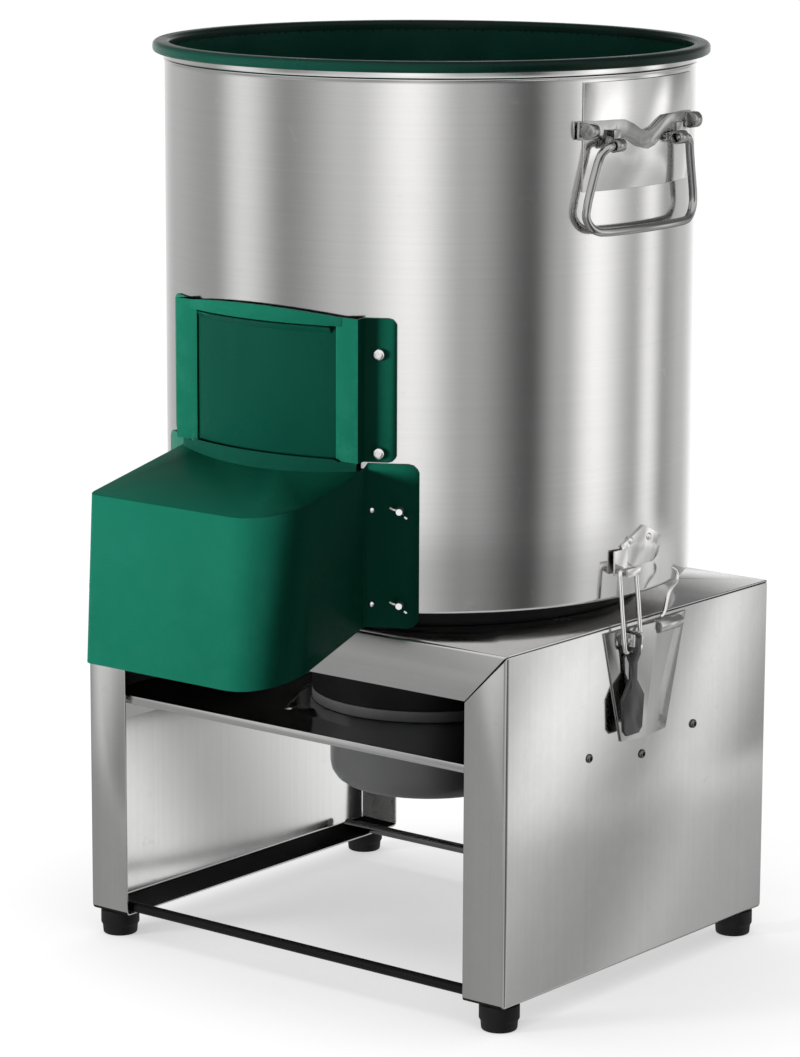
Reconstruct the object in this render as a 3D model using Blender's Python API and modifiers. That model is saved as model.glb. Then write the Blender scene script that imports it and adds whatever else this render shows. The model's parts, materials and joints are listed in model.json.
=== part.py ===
"""Grape crusher destemmer: a drum with a beater rotor on a folded sheet base.

Metres, +Z up. The shapes are laid out about the drum's axis, with the outlet
hood towards -Y, and one empty then centres the whole machine on its footprint.
"""

import math

import bmesh
import bpy
from mathutils import Matrix, Vector

# Clearances and sheet gauges
GAP = 0.0003
RUNNING_GAP = 0.0005
SHEET = 0.0015
MERGE = 0.00001
THROUGH_CUT = 0.020

# Base
BASE_MARGIN = 0.0025
BASE_DEPTH = 0.335
BASE_TOP = 0.283
FOOT_HEIGHT = 0.020
FOOT_RADIUS = 0.015
FOOT_TIP_RADIUS = 0.0132
FOOT_INSET = 0.016
LEG_FLANGE = 0.038
BEND_RADIUS = 0.003
DECK_HEIGHT = 0.190
DECK_LIP = 0.0065
DECK_FLANGE = 0.026
DECK_DRAIN_RADIUS = 0.003
DECK_DRAIN_PLACE = (-0.055, -0.102)
TIE_ROD_RADIUS = 0.004
TIE_ROD_END = 0.012
FRONT_ROD_INSET = 0.009
REAR_ROD_INSET = 0.0355
PANEL_SCREW_RADIUS = 0.0035
PANEL_SCREW_HEAD = 0.002
PANEL_SCREW_SPREAD = 0.067
PANEL_SCREW_BELOW = 0.002
PANEL_SCREW_DROP = 0.010

# Drum
DRUM_RADIUS = 0.200
DRUM_WALL = 0.0012
DRUM_HEIGHT = 0.389
LINER_WALL = 0.002
RIM_OVERHANG = 0.009
RIM_HEIGHT = 0.008
GASKET_HEIGHT = 0.017
GASKET_WIDTH = 0.040

# Outlet, gate and hood, with heights above the drum's floor, and angles in
# degrees either side of the outlet
OUTLET_ANGLE = 17.0
OUTLET_SILL = 0.003
OUTLET_HEIGHT = 0.093
OUTLET_CUT = 0.030
GATE_ANGLE = 21.0
GATE_HEIGHT = 0.0965
GATE_LIP = 0.0045
GATE_LIP_REACH = 0.004
GATE_LIP_INSET = 1.6
GATE_LIP_TAPER = 0.4
FRAME_INNER_ANGLE = 24.4
FRAME_OUTER_ANGLE = 31.5
FRAME_HEIGHT = 0.104
FRAME_CROWN = 0.0045
FRAME_CORNER = 0.006
FRAME_BRIDGE = 0.0065
RAIL_INNER_ANGLE = 19.3
RAIL_OUTER_ANGLE = 25.0
RAIL_LIFT = 0.0082
BRIDGE_LAP = 0.005
HOOD_FLARE = 0.0064
HOOD_REACH_TOP = 0.086
HOOD_REACH_LOW = 0.093
HOOD_CORNER_LEFT = 0.006
HOOD_CORNER_RIGHT = 0.042
HOOD_TOP_FRONT = 0.080
HOOD_TOP_REAR = 0.105
HOOD_LOW_FRONT = -0.043
HOOD_LOW_REAR = -0.010
HOOD_FLANGE_RISE = 0.110
HOOD_FLANGE_ANGLE = 36.2
HOOD_FLANGE_CORNER = 0.008
BOLT_RADIUS = 0.0045
BOLT_HEAD = 0.003
GATE_BOLT_ANGLE = 27.8
HOOD_BOLT_ANGLE = 32.2
HOOD_BOLT_EDGE = 0.017
GATE_BOLT_TOP_EDGE = 0.026
GATE_BOLT_LOW_EDGE = 0.0065

# Drive, with heights above the drum's floor unless the name says otherwise
SHAFT_RADIUS = 0.0105
SHAFT_STUB = 0.008
MOTOR_RADIUS = 0.0757
MOTOR_DROP = 0.0655
MOTOR_CORNER = 0.016
MOTOR_FLANGE_RADIUS = 0.090
MOTOR_FLANGE = 0.008
MOTOR_BORE_DEPTH = 0.036
HOUSING_WALL = 0.007
SLEEVE_RADIUS = 0.024
SLEEVE_RISE = 0.028
SWEEPER_THICKNESS = 0.011
SWEEPER_HUB_WALL = 0.0195
SWEEPER_WIDTH = 0.014
SWEEPER_STEP = 0.002
SWEEPER_TIP_GAP = 0.006
BLADE_THICKNESS = 0.006
BLADE_SLEEVE_GAP = 0.010
BLADE_FLOOR_GAP = 0.003
BLADE_LAP = 0.005
ARM_ROOT = 0.007
SCREEN_RISE = 0.045
SCREEN_SHEET = 0.002
SCREEN_BORE_GAP = 0.003
SCREEN_HOLE_RADIUS = 0.0075
SCREEN_HOLE_RINGS = ((0.31, 8), (0.51, 14), (0.71, 20))
SCREEN_RING_WIDTH = 0.008
SCREEN_RING_HEIGHT = 0.014
ROTOR_LIFT = 0.004
ROTOR_HUB_WALL = 0.0215
ROTOR_HUB_HEIGHT = 0.045
ROTOR_TIP_GAP = 0.0222
ROTOR_ARM_WIDTH = 0.022
ROTOR_ARM_THICKNESS = 0.010
ROTOR_ARM_LIFT = 0.004
ROTOR_ARMS = 4
PADDLE_LENGTH = 0.079
PADDLE_THICKNESS = 0.008
PADDLE_OVERHANG = 0.004
PADDLE_TOP_DROP = 0.005
CAP_WALL = 0.0115
CAP_HEIGHT = 0.026

# Drop handles, with heights below the drum's edge
HANDLE_PLATE_HALF_WIDTH = 0.0662
HANDLE_PLATE_LOW = 0.087
HANDLE_PLATE_HIGH = 0.009
HANDLE_PLATE_SHEET = 0.001
HANDLE_OFFSET = -0.007
HANDLE_PIVOT_DROP = 0.054
HANDLE_ROD_RADIUS = 0.0035
HANDLE_BOW = 0.0088
HANDLE_SHOULDER = 0.054
HANDLE_HALF_WIDTH = 0.0645
HANDLE_DROP = 0.062
HANDLE_CORNER = 0.016
BARREL_WALL = 0.0015
BARREL_INNER = 0.034
BARREL_OUTER = 0.044
BARREL_END_PLAY = 0.002
STRAP_LIFT = 0.0045
STRAP_HEIGHT = 0.013
STRAP_DIP = 0.010
STRAP_DIP_SHARE = 0.42
STRAP_SHEET = 0.003
STRAP_HALF_WIDTH = 0.065
KNOB_RADIUS = 0.0060
KNOB_LENGTH = 0.008

# Toggle latches, with keeper heights above the drum's floor and bracket
# heights below the base's top
LATCH_OFFSET = -0.0275
KEEPER_HALF_WIDTH = 0.0255
KEEPER_FOOT = 0.017
KEEPER_LOW = 0.0227
KEEPER_SHOULDER = 0.039
KEEPER_HIGH = 0.0516
KEEPER_EDGE = 0.001
HOOK_HALF_WIDTH = 0.008
HOOK_BACK = -0.0008
HOOK_LOW = 0.019
HOOK_INNER_WIDTH = 0.0103
HOOK_LIP = 0.0043
HOOK_RISE = 0.018
HOOK_BAR_PLACE = 0.0058
BAIL_ROD_RADIUS = 0.002
BAIL_LENGTH = 0.060
BAIL_LEAN = 0.0060
BAIL_HALF_WIDTH = 0.0105
BAIL_CORNER = 0.003
BAIL_SPLIT = 0.0015
LATCH_THROW = 0.009
LATCH_WEB = 0.0035
LATCH_EYE = 0.0046
LATCH_PIN_RADIUS = 0.0022
LATCH_PIN_PROUD = 0.0015
EAR_ROOT = 0.002
EAR_INNER = 0.0041
EAR_OUTER = 0.0060
LEVER_LENGTH = 0.072
SPADE_HEIGHT = 0.045
SPADE_HALF_WIDTH = 0.0135
SPADE_SHEET = 0.0025
SPADE_NECK = 0.0015
SPADE_SLOPE = 0.017
SPADE_TIP = 0.004
WEB_LAP = 0.010
BRACKET_HIGH = 0.004
BRACKET_LOW = 0.090
BRACKET_TOP_HALF = 0.052
BRACKET_LOW_HALF = 0.028
BRACKET_RIDGE_TOP = 0.006
BRACKET_RIDGE_LOW = -0.005
BRACKET_RISE_TOP = 0.0065
BRACKET_RISE_LOW = 0.004
CLIP_WIRE_RADIUS = 0.0015
CLIP_BARREL_RADIUS = 0.005
CLIP_BARREL_OUT = 0.008
CLIP_BARREL_DROP = 0.008
CLIP_BARREL_SPAN = (0.006, 0.034)
CLIP_PATH = (
    (0.0000, 0.0100, 0.0000),
    (0.0000, 0.0140, 0.0010),
    (0.0000, 0.0165, 0.0050),
    (0.0000, 0.0190, 0.0150),
    (-0.0010, 0.0260, 0.0200),
    (-0.0020, 0.0340, 0.0225),
    (-0.0035, 0.0370, 0.0260),
    (-0.0045, 0.0355, 0.0310),
    (-0.0050, 0.0310, 0.0335),
)

# Switch box on the rear panel
SWITCH_BOX = (0.070, 0.034, 0.042)
SWITCH_BOX_X = 0.070
SWITCH_BOX_LIFT = 0.004
ROCKER_WIDTH = 0.022
ROCKER_RADIUS = 0.007
ROCKER_PROUD = 0.001
ROCKER_TILT = 8.0
GLAND_RADIUS = 0.009
GLAND_LENGTH = 0.016

# Worked out from the sizes above
HALF_WIDTH = DRUM_RADIUS + BASE_MARGIN
HALF_DEPTH = BASE_DEPTH / 2
PANEL_TOP = BASE_TOP - SHEET - RUNNING_GAP
DRUM_BOTTOM = BASE_TOP + GASKET_HEIGHT
DRUM_TOP = DRUM_BOTTOM + DRUM_HEIGHT
FLOOR_TOP = DRUM_BOTTOM + SHEET
RIM_RADIUS = DRUM_RADIUS + RIM_OVERHANG
SKIN_RADIUS = DRUM_RADIUS + GAP
LINER_OUTER = DRUM_RADIUS - DRUM_WALL - GAP
LINER_INNER = LINER_OUTER - LINER_WALL
OUTLET_BOTTOM = DRUM_BOTTOM + OUTLET_SILL
OUTLET_TOP = OUTLET_BOTTOM + OUTLET_HEIGHT
HOOD_REACH = DRUM_RADIUS + HOOD_REACH_LOW
HOOD_HALF_WIDTH = DRUM_RADIUS * math.sin(math.radians(FRAME_INNER_ANGLE)) + HOOD_FLARE
CENTRING_SHIFT = (HOOD_REACH - RIM_RADIUS) / 2
HOOD_FLANGE_TOP = DRUM_BOTTOM + HOOD_FLANGE_RISE
RAIL_INNER = DRUM_RADIUS * math.sin(math.radians(RAIL_INNER_ANGLE))
RAIL_OUTER = DRUM_RADIUS * math.sin(math.radians(RAIL_OUTER_ANGLE))
FRAME_BOTTOM = HOOD_FLANGE_TOP + 2 * RUNNING_GAP
FRAME_TOP = FRAME_BOTTOM + FRAME_HEIGHT
GATE_TOP = FRAME_TOP - FRAME_BRIDGE - GAP - RUNNING_GAP
MOTOR_BOTTOM = DECK_HEIGHT - MOTOR_DROP
MOTOR_FLANGE_TOP = DECK_HEIGHT + SHEET + GAP + MOTOR_FLANGE
HOUSING_TOP = BASE_TOP - SHEET - GAP
SLEEVE_TOP = DRUM_BOTTOM + SLEEVE_RISE
SWEEPER_BOTTOM = SLEEVE_TOP + RUNNING_GAP
SCREEN_HEIGHT = DRUM_BOTTOM + SCREEN_RISE
ROTOR_BOTTOM = SCREEN_HEIGHT + SCREEN_SHEET + ROTOR_LIFT
ROTOR_TOP = ROTOR_BOTTOM + ROTOR_HUB_HEIGHT
ROTOR_REACH = LINER_INNER - ROTOR_TIP_GAP
SHAFT_TOP = ROTOR_TOP + SHAFT_STUB
HANDLE_PIVOT_HEIGHT = DRUM_TOP - HANDLE_PIVOT_DROP
BARREL_MIDDLE = (BARREL_INNER + BARREL_OUTER) / 2
BARREL_RADIUS = HANDLE_ROD_RADIUS + BARREL_WALL
HANDLE_BOW_RADIUS = DRUM_RADIUS + HANDLE_BOW
HANDLE_PIVOT_X = math.sqrt(HANDLE_BOW_RADIUS ** 2 - BARREL_MIDDLE ** 2)
HOOK_BOTTOM = DRUM_BOTTOM + HOOK_LOW
HOOK_INNER = SKIN_RADIUS + HOOK_BACK + SHEET
HOOK_OUTER = HOOK_INNER + HOOK_INNER_WIDTH
BAR_X = HOOK_INNER + HOOK_BAR_PLACE
BAR_HEIGHT = HOOK_BOTTOM + SHEET + BAIL_ROD_RADIUS + 2 * GAP
BAIL_PIVOT = (BAR_X + BAIL_LEAN, BAR_HEIGHT - BAIL_LENGTH)
LEVER_PIVOT = (BAIL_PIVOT[0], BAIL_PIVOT[1] + LATCH_THROW)
CLIP_BARREL_X = HALF_WIDTH + CLIP_BARREL_OUT
CLIP_BARREL_HEIGHT = BASE_TOP - CLIP_BARREL_DROP


# ---------------------------------------------------------------- helpers

def clear_scene():
    for obj in list(bpy.data.objects):
        bpy.data.objects.remove(obj, do_unlink=True)


def make_collection(name):
    collection = bpy.data.collections.new(name)
    bpy.context.scene.collection.children.link(collection)
    return collection


def make_material(name, colour, roughness, metallic):
    material = bpy.data.materials.new(name)
    material.use_nodes = True
    shader = material.node_tree.nodes["Principled BSDF"]
    shader.inputs["Base Color"].default_value = (*colour, 1.0)
    shader.inputs["Roughness"].default_value = roughness
    shader.inputs["Metallic"].default_value = metallic
    return material


def add_part(name, data, material=None):
    """Puts mesh or curve data in the model, under the centring empty."""
    obj = bpy.data.objects.new(name, data)
    PARTS.objects.link(obj)
    obj.parent = CENTRE
    if material:
        data.materials.append(material)
    return obj


def as_cutter(obj):
    PARTS.objects.unlink(obj)
    CUTTERS.objects.link(obj)
    obj.hide_render = True
    obj.display_type = "WIRE"
    return obj


def mesh_from(bm, name):
    mesh = bpy.data.meshes.new(name)
    bmesh.ops.recalc_face_normals(bm, faces=bm.faces)
    bm.to_mesh(mesh)
    bm.free()
    return mesh


def smooth(obj, angle=35):
    obj.data.shade_smooth()
    obj.data.set_sharp_from_angle(angle=math.radians(angle))
    return obj


def box(name, low, high, material=None):
    bm = bmesh.new()
    size = Vector(high) - Vector(low)
    centre = (Vector(high) + Vector(low)) / 2
    matrix = Matrix.Translation(centre) @ Matrix.Diagonal((*size, 1))
    bmesh.ops.create_cube(bm, size=1, matrix=matrix)
    return add_part(name, mesh_from(bm, name), material)


def rod(name, start, end, radius, material=None, sides=20, end_radius=None):
    """A solid round bar, or a cone, between two points."""
    start = Vector(start)
    along = Vector(end) - start
    turn = along.to_track_quat("Z", "Y").to_matrix().to_4x4()
    bm = bmesh.new()
    bmesh.ops.create_cone(
        bm,
        cap_ends=True,
        segments=sides,
        radius1=radius,
        radius2=radius if end_radius is None else end_radius,
        depth=along.length,
        matrix=Matrix.Translation(start + along / 2) @ turn,
    )
    return smooth(add_part(name, mesh_from(bm, name), material))


def turned(name, profile, material=None, steps=48, closed=True):
    """A profile of (radius, height) turned about the drum's axis."""
    mesh = bpy.data.meshes.new(name)
    points = [(radius, 0, height) for radius, height in profile]
    edges = [(i, i + 1) for i in range(len(points) - 1)]
    if closed:
        edges.append((len(points) - 1, 0))
    mesh.from_pydata(points, edges, [])
    obj = add_part(name, mesh, material)
    screw = obj.modifiers.new("Screw", "SCREW")
    screw.steps = steps
    screw.render_steps = steps
    screw.use_merge_vertices = True
    screw.merge_threshold = MERGE
    screw.use_smooth_shade = False
    return obj


def outline(name, points, thickness, matrix, material=None):
    """A flat outline given thickness, then placed by a matrix."""
    curve = bpy.data.curves.new(name, "CURVE")
    curve.dimensions = "2D"
    curve.fill_mode = "BOTH"
    curve.extrude = thickness / 2
    spline = curve.splines.new("POLY")
    spline.points.add(len(points) - 1)
    for point, (u, v) in zip(spline.points, points):
        point.co = (u, v, 0, 1)
    spline.use_cyclic_u = True
    obj = add_part(name, curve, material)
    return to_mesh(obj, matrix)


def wire(name, points, radius, material=None, resolution=2):
    curve = bpy.data.curves.new(name, "CURVE")
    curve.dimensions = "3D"
    curve.bevel_depth = radius
    curve.bevel_resolution = resolution
    curve.use_fill_caps = True
    spline = curve.splines.new("POLY")
    spline.points.add(len(points) - 1)
    for point, place in zip(spline.points, points):
        point.co = (*place, 1)
    return add_part(name, curve, material)


def to_mesh(obj, matrix=None):
    """Turns a curve into a welded mesh with the same name and place."""
    name = obj.name
    bpy.context.view_layer.update()
    evaluated = obj.evaluated_get(bpy.context.evaluated_depsgraph_get())
    mesh = bpy.data.meshes.new_from_object(evaluated)
    if matrix is not None:
        mesh.transform(matrix)
    bm = bmesh.new()
    bm.from_mesh(mesh)
    bmesh.ops.remove_doubles(bm, verts=bm.verts, dist=MERGE)
    bmesh.ops.recalc_face_normals(bm, faces=bm.faces)
    bm.to_mesh(mesh)
    bm.free()
    bpy.data.objects.remove(obj)
    mesh.name = name
    return add_part(name, mesh)


def surface(name, points, faces, thickness, material, offset=-1, bend=0.0):
    """An open sheet given its bends and then its gauge."""
    mesh = bpy.data.meshes.new(name)
    mesh.from_pydata(points, [], faces)
    mesh.update()
    obj = add_part(name, mesh, material)
    if bend:
        bevel = obj.modifiers.new("Bends", "BEVEL")
        bevel.width = bend
        bevel.segments = 2
        bevel.limit_method = "ANGLE"
        bevel.angle_limit = math.radians(60)
    gauge = obj.modifiers.new("Gauge", "SOLIDIFY")
    gauge.thickness = thickness
    gauge.offset = offset
    gauge.use_even_offset = True
    return obj


def boolean(obj, other, operation):
    modifier = obj.modifiers.new(operation.title(), "BOOLEAN")
    modifier.operation = operation
    modifier.solver = "EXACT"
    modifier.object = other


def cut(obj, cutter):
    boolean(obj, as_cutter(cutter), "DIFFERENCE")


def join(obj, other):
    boolean(obj, as_cutter(other), "UNION")


def set_origin(obj, place):
    """Moves an object's origin to a joint axis and leaves its shape in place."""
    obj.data.transform(Matrix.Translation(-Vector(place)))
    obj.location = place


def turn_about_drum(obj, degrees):
    """Carries a finished piece round the drum's axis."""
    spin = Matrix.Rotation(math.radians(degrees), 4, "Z")
    obj.location = spin @ obj.location
    obj.rotation_euler = (0, 0, math.radians(degrees))


def around(degrees, radius, height):
    """A point at an angle from the outlet's middle, positive towards +X."""
    angle = math.radians(degrees)
    return (radius * math.sin(angle), -radius * math.cos(angle), height)


def strip(name, columns, thickness, material, offset=1):
    """A sheet through columns of (bottom point, top point)."""
    points = [point for column in columns for point in column]
    faces = [(2 * i, 2 * i + 2, 2 * i + 3, 2 * i + 1) for i in range(len(columns) - 1)]
    return surface(name, points, faces, thickness, material, offset)


def arc_columns(start, end, radius, bottom, top, corner=0.0, count=9, round_start=True, round_end=True):
    """Columns round the drum, with the corners at either end rounded."""
    shares = [i / (count - 1) for i in range(count)]
    if corner:
        span = math.radians(abs(end - start)) * radius
        extra = [corner / span * (1 - math.cos(math.radians(t))) for t in (0, 30, 60, 90)]
        inner = [share for share in shares if corner / span < share < 1 - corner / span]
        first = extra if round_start else [0.0]
        last = [1 - share for share in reversed(extra)] if round_end else [1.0]
        shares = first + inner + last
    columns = []
    for share in shares:
        drop = 0.0
        if corner:
            edge = min(share if round_start else 1, 1 - share if round_end else 1) * span
            if edge < corner:
                drop = corner - math.sqrt(corner ** 2 - (corner - edge) ** 2)
        angle = start + (end - start) * share
        drop = min(drop, corner * 0.8)
        columns.append((around(angle, radius, bottom + drop), around(angle, radius, top - drop)))
    return columns


# ------------------------------------------------------------------- base

def side_panel(name, side):
    """A closed side sheet with front and rear leg flanges and a foot flange."""
    x = side * HALF_WIDTH
    inner = side * (HALF_WIDTH - LEG_FLANGE)
    top = PANEL_TOP
    mitre = top - LEG_FLANGE
    points = []
    for y in (-HALF_DEPTH, HALF_DEPTH):
        points += [
            (x, y, FOOT_HEIGHT),
            (x, y, top),
            (inner, y, FOOT_HEIGHT),
            (inner, y, mitre),
        ]
    faces = [(0, 4, 5, 1), (2, 0, 1, 3), (4, 6, 7, 5), (0, 2, 6, 4)]
    if side < 0:
        faces = [tuple(reversed(face)) for face in faces]
    return surface(name, points, faces, SHEET, STEEL, -1, BEND_RADIUS)


def top_plate():
    """The deck under the drum, with its mitred front and rear rails."""
    inner = HALF_WIDTH - LEG_FLANGE
    rail = PANEL_TOP - LEG_FLANGE + 2 * RUNNING_GAP
    points = []
    for y in (-HALF_DEPTH, HALF_DEPTH):
        points += [
            (-HALF_WIDTH, y, BASE_TOP),
            (HALF_WIDTH, y, BASE_TOP),
            (inner, y, rail),
            (-inner, y, rail),
        ]
    faces = [(0, 1, 5, 4), (3, 2, 1, 0), (4, 5, 6, 7)]
    plate = surface("top_plate", points, faces, SHEET, STEEL, -1, BEND_RADIUS)
    hole_radius = SLEEVE_RADIUS + 2 * RUNNING_GAP
    ends = [(0, 0, BASE_TOP + side * THROUGH_CUT) for side in (-1, 1)]
    cut(plate, rod("top_plate_hole", ends[0], ends[1], hole_radius))


def deck_plate():
    """The shelf that carries the motor, with a front lip and side flanges."""
    x = HALF_WIDTH - SHEET - GAP
    y = HALF_DEPTH - BEND_RADIUS - GAP
    front = SHEET - y
    level = DECK_HEIGHT + SHEET
    lip = DECK_HEIGHT + DECK_LIP
    low = level - DECK_FLANGE
    points = [
        (-x, front, level),
        (x, front, level),
        (x, y, level),
        (-x, y, level),
        (-x, front, lip),
        (x, front, lip),
        (-x, front, low),
        (x, front, low),
        (x, y, low),
        (-x, y, low),
    ]
    faces = [(0, 1, 2, 3), (0, 4, 5, 1), (7, 8, 2, 1), (3, 9, 6, 0)]
    deck = surface("deck_plate", points, faces, SHEET, DARK_STEEL, -1)
    hole = rod("deck_hole", (0, 0, low), (0, 0, lip), MOTOR_RADIUS + 2 * RUNNING_GAP, sides=48)
    cut(deck, hole)
    place = DECK_DRAIN_PLACE
    cut(deck, rod("deck_drain", (*place, low), (*place, lip), DECK_DRAIN_RADIUS, sides=12))


def rear_panel():
    """Closes the rear of the motor space between the legs."""
    x = HALF_WIDTH - LEG_FLANGE - GAP
    top = BASE_TOP - SHEET - GAP - LEG_FLANGE
    box(
        "rear_panel",
        (-x, HALF_DEPTH - SHEET, DECK_HEIGHT - DECK_FLANGE),
        (x, HALF_DEPTH, top),
        DARK_STEEL,
    )


def tie_rods():
    reach = HALF_WIDTH - SHEET - TIE_ROD_END
    height = FOOT_HEIGHT + SHEET + GAP + TIE_ROD_RADIUS
    for name, y in (
        ("front_tie_rod", FRONT_ROD_INSET - HALF_DEPTH),
        ("rear_tie_rod", HALF_DEPTH - REAR_ROD_INSET),
    ):
        rod(name, (-reach, y, height), (reach, y, height), TIE_ROD_RADIUS, BLACK_PAINT, sides=12)


def feet():
    for end, y in (("front", -1), ("rear", 1)):
        for hand, x in (("left", -1), ("right", 1)):
            place = (x * (HALF_WIDTH - FOOT_INSET), y * (HALF_DEPTH - FOOT_INSET))
            rod(
                f"foot_{end}_{hand}",
                (*place, 0),
                (*place, FOOT_HEIGHT - GAP),
                FOOT_TIP_RADIUS,
                RUBBER,
                24,
                FOOT_RADIUS,
            )


def panel_screws():
    """Three screw heads on each side panel hold the deck's flanges."""
    for hand, side in (("left", -1), ("right", 1)):
        for number, share in enumerate((-1, 0, 1), 1):
            height = DECK_HEIGHT - PANEL_SCREW_BELOW - (PANEL_SCREW_DROP if share == 0 else 0)
            y = share * PANEL_SCREW_SPREAD
            rod(
                f"panel_screw_{hand}_{number}",
                (side * (HALF_WIDTH + GAP), y, height),
                (side * (HALF_WIDTH + GAP + PANEL_SCREW_HEAD), y, height),
                PANEL_SCREW_RADIUS,
                DARK_STEEL,
                12,
            )


# ------------------------------------------------------------------ drive

def motor():
    top = MOTOR_FLANGE_TOP
    under = top - MOTOR_FLANGE
    bore = SHAFT_RADIUS + GAP
    profile = [
        (bore, top),
        (MOTOR_FLANGE_RADIUS, top),
        (MOTOR_FLANGE_RADIUS, under),
        (MOTOR_RADIUS, under),
    ]
    for step in range(5):
        angle = math.radians(90 * step / 4)
        profile.append((
            MOTOR_RADIUS - MOTOR_CORNER + MOTOR_CORNER * math.cos(angle),
            MOTOR_BOTTOM + MOTOR_CORNER - MOTOR_CORNER * math.sin(angle),
        ))
    profile += [(0, MOTOR_BOTTOM), (0, top - MOTOR_BORE_DEPTH), (bore, top - MOTOR_BORE_DEPTH)]
    turned("motor_body", profile, MOTOR_PAINT)


def bearing_housing():
    """A bell between the motor flange and the top plate, round the shaft."""
    low = MOTOR_FLANGE_TOP + GAP
    bore = SHAFT_RADIUS + RUNNING_GAP
    inner = MOTOR_FLANGE_RADIUS - HOUSING_WALL
    ceiling = HOUSING_TOP - HOUSING_WALL
    profile = [
        (bore, HOUSING_TOP),
        (MOTOR_FLANGE_RADIUS, HOUSING_TOP),
        (MOTOR_FLANGE_RADIUS, low),
        (inner, low),
        (inner, ceiling),
        (bore + HOUSING_WALL, ceiling),
        (bore + HOUSING_WALL, low + HOUSING_WALL),
        (bore, low + HOUSING_WALL),
    ]
    turned("bearing_housing", profile, MOTOR_PAINT)


def seal_sleeve():
    """A raised collar that keeps juice off the shaft where it enters the drum."""
    bore = SHAFT_RADIUS + RUNNING_GAP
    low = HOUSING_TOP + GAP
    profile = [(bore, SLEEVE_TOP), (SLEEVE_RADIUS, SLEEVE_TOP), (SLEEVE_RADIUS, low), (bore, low)]
    turned("seal_sleeve", profile, RUBBER, steps=32)


def main_shaft():
    low = MOTOR_FLANGE_TOP - MOTOR_BORE_DEPTH + GAP
    rod("main_shaft", (0, 0, low), (0, 0, SHAFT_TOP), SHAFT_RADIUS, BRIGHT_STEEL, 32)
    set_origin(bpy.data.objects["main_shaft"], (0, 0, low))


def sweeper():
    """Two low blades that push must from under the screen to the outlet."""
    low = SWEEPER_BOTTOM
    high = low + SWEEPER_THICKNESS
    bore = SHAFT_RADIUS + GAP
    outer = bore + SWEEPER_HUB_WALL
    hub = [(bore, high), (outer, high), (outer, low), (bore, low)]
    body = turned("sweeper", hub, BRIGHT_STEEL, steps=32)
    reach = LINER_INNER - SCREEN_RING_WIDTH - SWEEPER_TIP_GAP
    half = SWEEPER_WIDTH / 2
    thin = BLADE_THICKNESS / 2
    floor = FLOOR_TOP + BLADE_FLOOR_GAP
    for number, side in enumerate((-1, 1), 1):
        ends = sorted((side * (SHAFT_RADIUS + ARM_ROOT), side * reach))
        corners = ((ends[0], -half, low + SWEEPER_STEP), (ends[1], half, high - SWEEPER_STEP))
        join(body, box(f"sweeper_arm_{number}", corners[0], corners[1]))
        ends = sorted((side * (SLEEVE_RADIUS + BLADE_SLEEVE_GAP), side * (reach - SWEEPER_STEP)))
        corners = ((ends[0], -thin, floor), (ends[1], thin, low + BLADE_LAP))
        join(body, box(f"sweeper_blade_{number}", corners[0], corners[1]))


def floor_screen():
    """A perforated floor that lets berries and juice through."""
    outer = LINER_INNER - GAP
    bore = SHAFT_RADIUS + SCREEN_BORE_GAP
    top = SCREEN_HEIGHT + SCREEN_SHEET
    profile = [(bore, top), (outer, top), (outer, SCREEN_HEIGHT), (bore, SCREEN_HEIGHT)]
    plate = turned("floor_screen", profile, BRIGHT_STEEL, steps=64)
    bm = bmesh.new()
    for share, count in SCREEN_HOLE_RINGS:
        for number in range(count):
            place = around(360 * number / count, share * DRUM_RADIUS, SCREEN_HEIGHT)
            bmesh.ops.create_cone(
                bm,
                cap_ends=True,
                segments=10,
                radius1=SCREEN_HOLE_RADIUS,
                radius2=SCREEN_HOLE_RADIUS,
                depth=THROUGH_CUT,
                matrix=Matrix.Translation(place),
            )
    cut(plate, add_part("screen_holes", mesh_from(bm, "screen_holes")))


def screen_ring():
    """A ledge round the drum that the screen lies on."""
    outer = LINER_INNER - GAP
    inner = outer - SCREEN_RING_WIDTH
    high = SCREEN_HEIGHT - GAP
    low = high - SCREEN_RING_HEIGHT
    profile = [(inner, high), (outer, high), (outer, low)]
    ring = turned("screen_ring", profile, BRIGHT_STEEL, steps=64)
    cut(ring, outlet_cutter("screen_ring_outlet"))


def beater_rotor():
    """A hub with flat arms, each ending in an upright paddle."""
    bore = SHAFT_RADIUS + GAP
    outer = bore + ROTOR_HUB_WALL
    hub = [(bore, ROTOR_TOP), (outer, ROTOR_TOP), (outer, ROTOR_BOTTOM), (bore, ROTOR_BOTTOM)]
    body = turned("beater_rotor", hub, BRIGHT_STEEL, steps=32)
    half = ROTOR_ARM_WIDTH / 2
    thin = PADDLE_THICKNESS / 2
    low = ROTOR_BOTTOM + ROTOR_ARM_LIFT
    high = low + ROTOR_ARM_THICKNESS
    for number in range(1, ROTOR_ARMS + 1):
        angle = 360 * (number - 0.5) / ROTOR_ARMS
        arm = box(
            f"rotor_arm_{number}",
            (SHAFT_RADIUS + ARM_ROOT, -half, low),
            (ROTOR_REACH - PADDLE_OVERHANG, half, high),
        )
        turn_about_drum(arm, angle)
        join(body, arm)
        paddle = box(
            f"rotor_paddle_{number}",
            (ROTOR_REACH - PADDLE_LENGTH, -thin, (low + high) / 2),
            (ROTOR_REACH, thin, ROTOR_TOP - PADDLE_TOP_DROP),
        )
        turn_about_drum(paddle, angle)
        join(body, paddle)


def rotor_cap():
    low = ROTOR_TOP + GAP
    bore = SHAFT_RADIUS + GAP
    outer = bore + CAP_WALL
    depth = SHAFT_STUB + RUNNING_GAP
    profile = [(0, low + CAP_HEIGHT)]
    for step in range(1, 6):
        angle = math.radians(90 * step / 5)
        height = low + (CAP_HEIGHT / 2) * (1 + math.cos(angle))
        profile.append((outer * math.sin(angle), height))
    profile += [(outer, low), (bore, low), (bore, low + depth), (0, low + depth)]
    turned("rotor_cap", profile, BRIGHT_STEEL, steps=32, closed=False)


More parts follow.
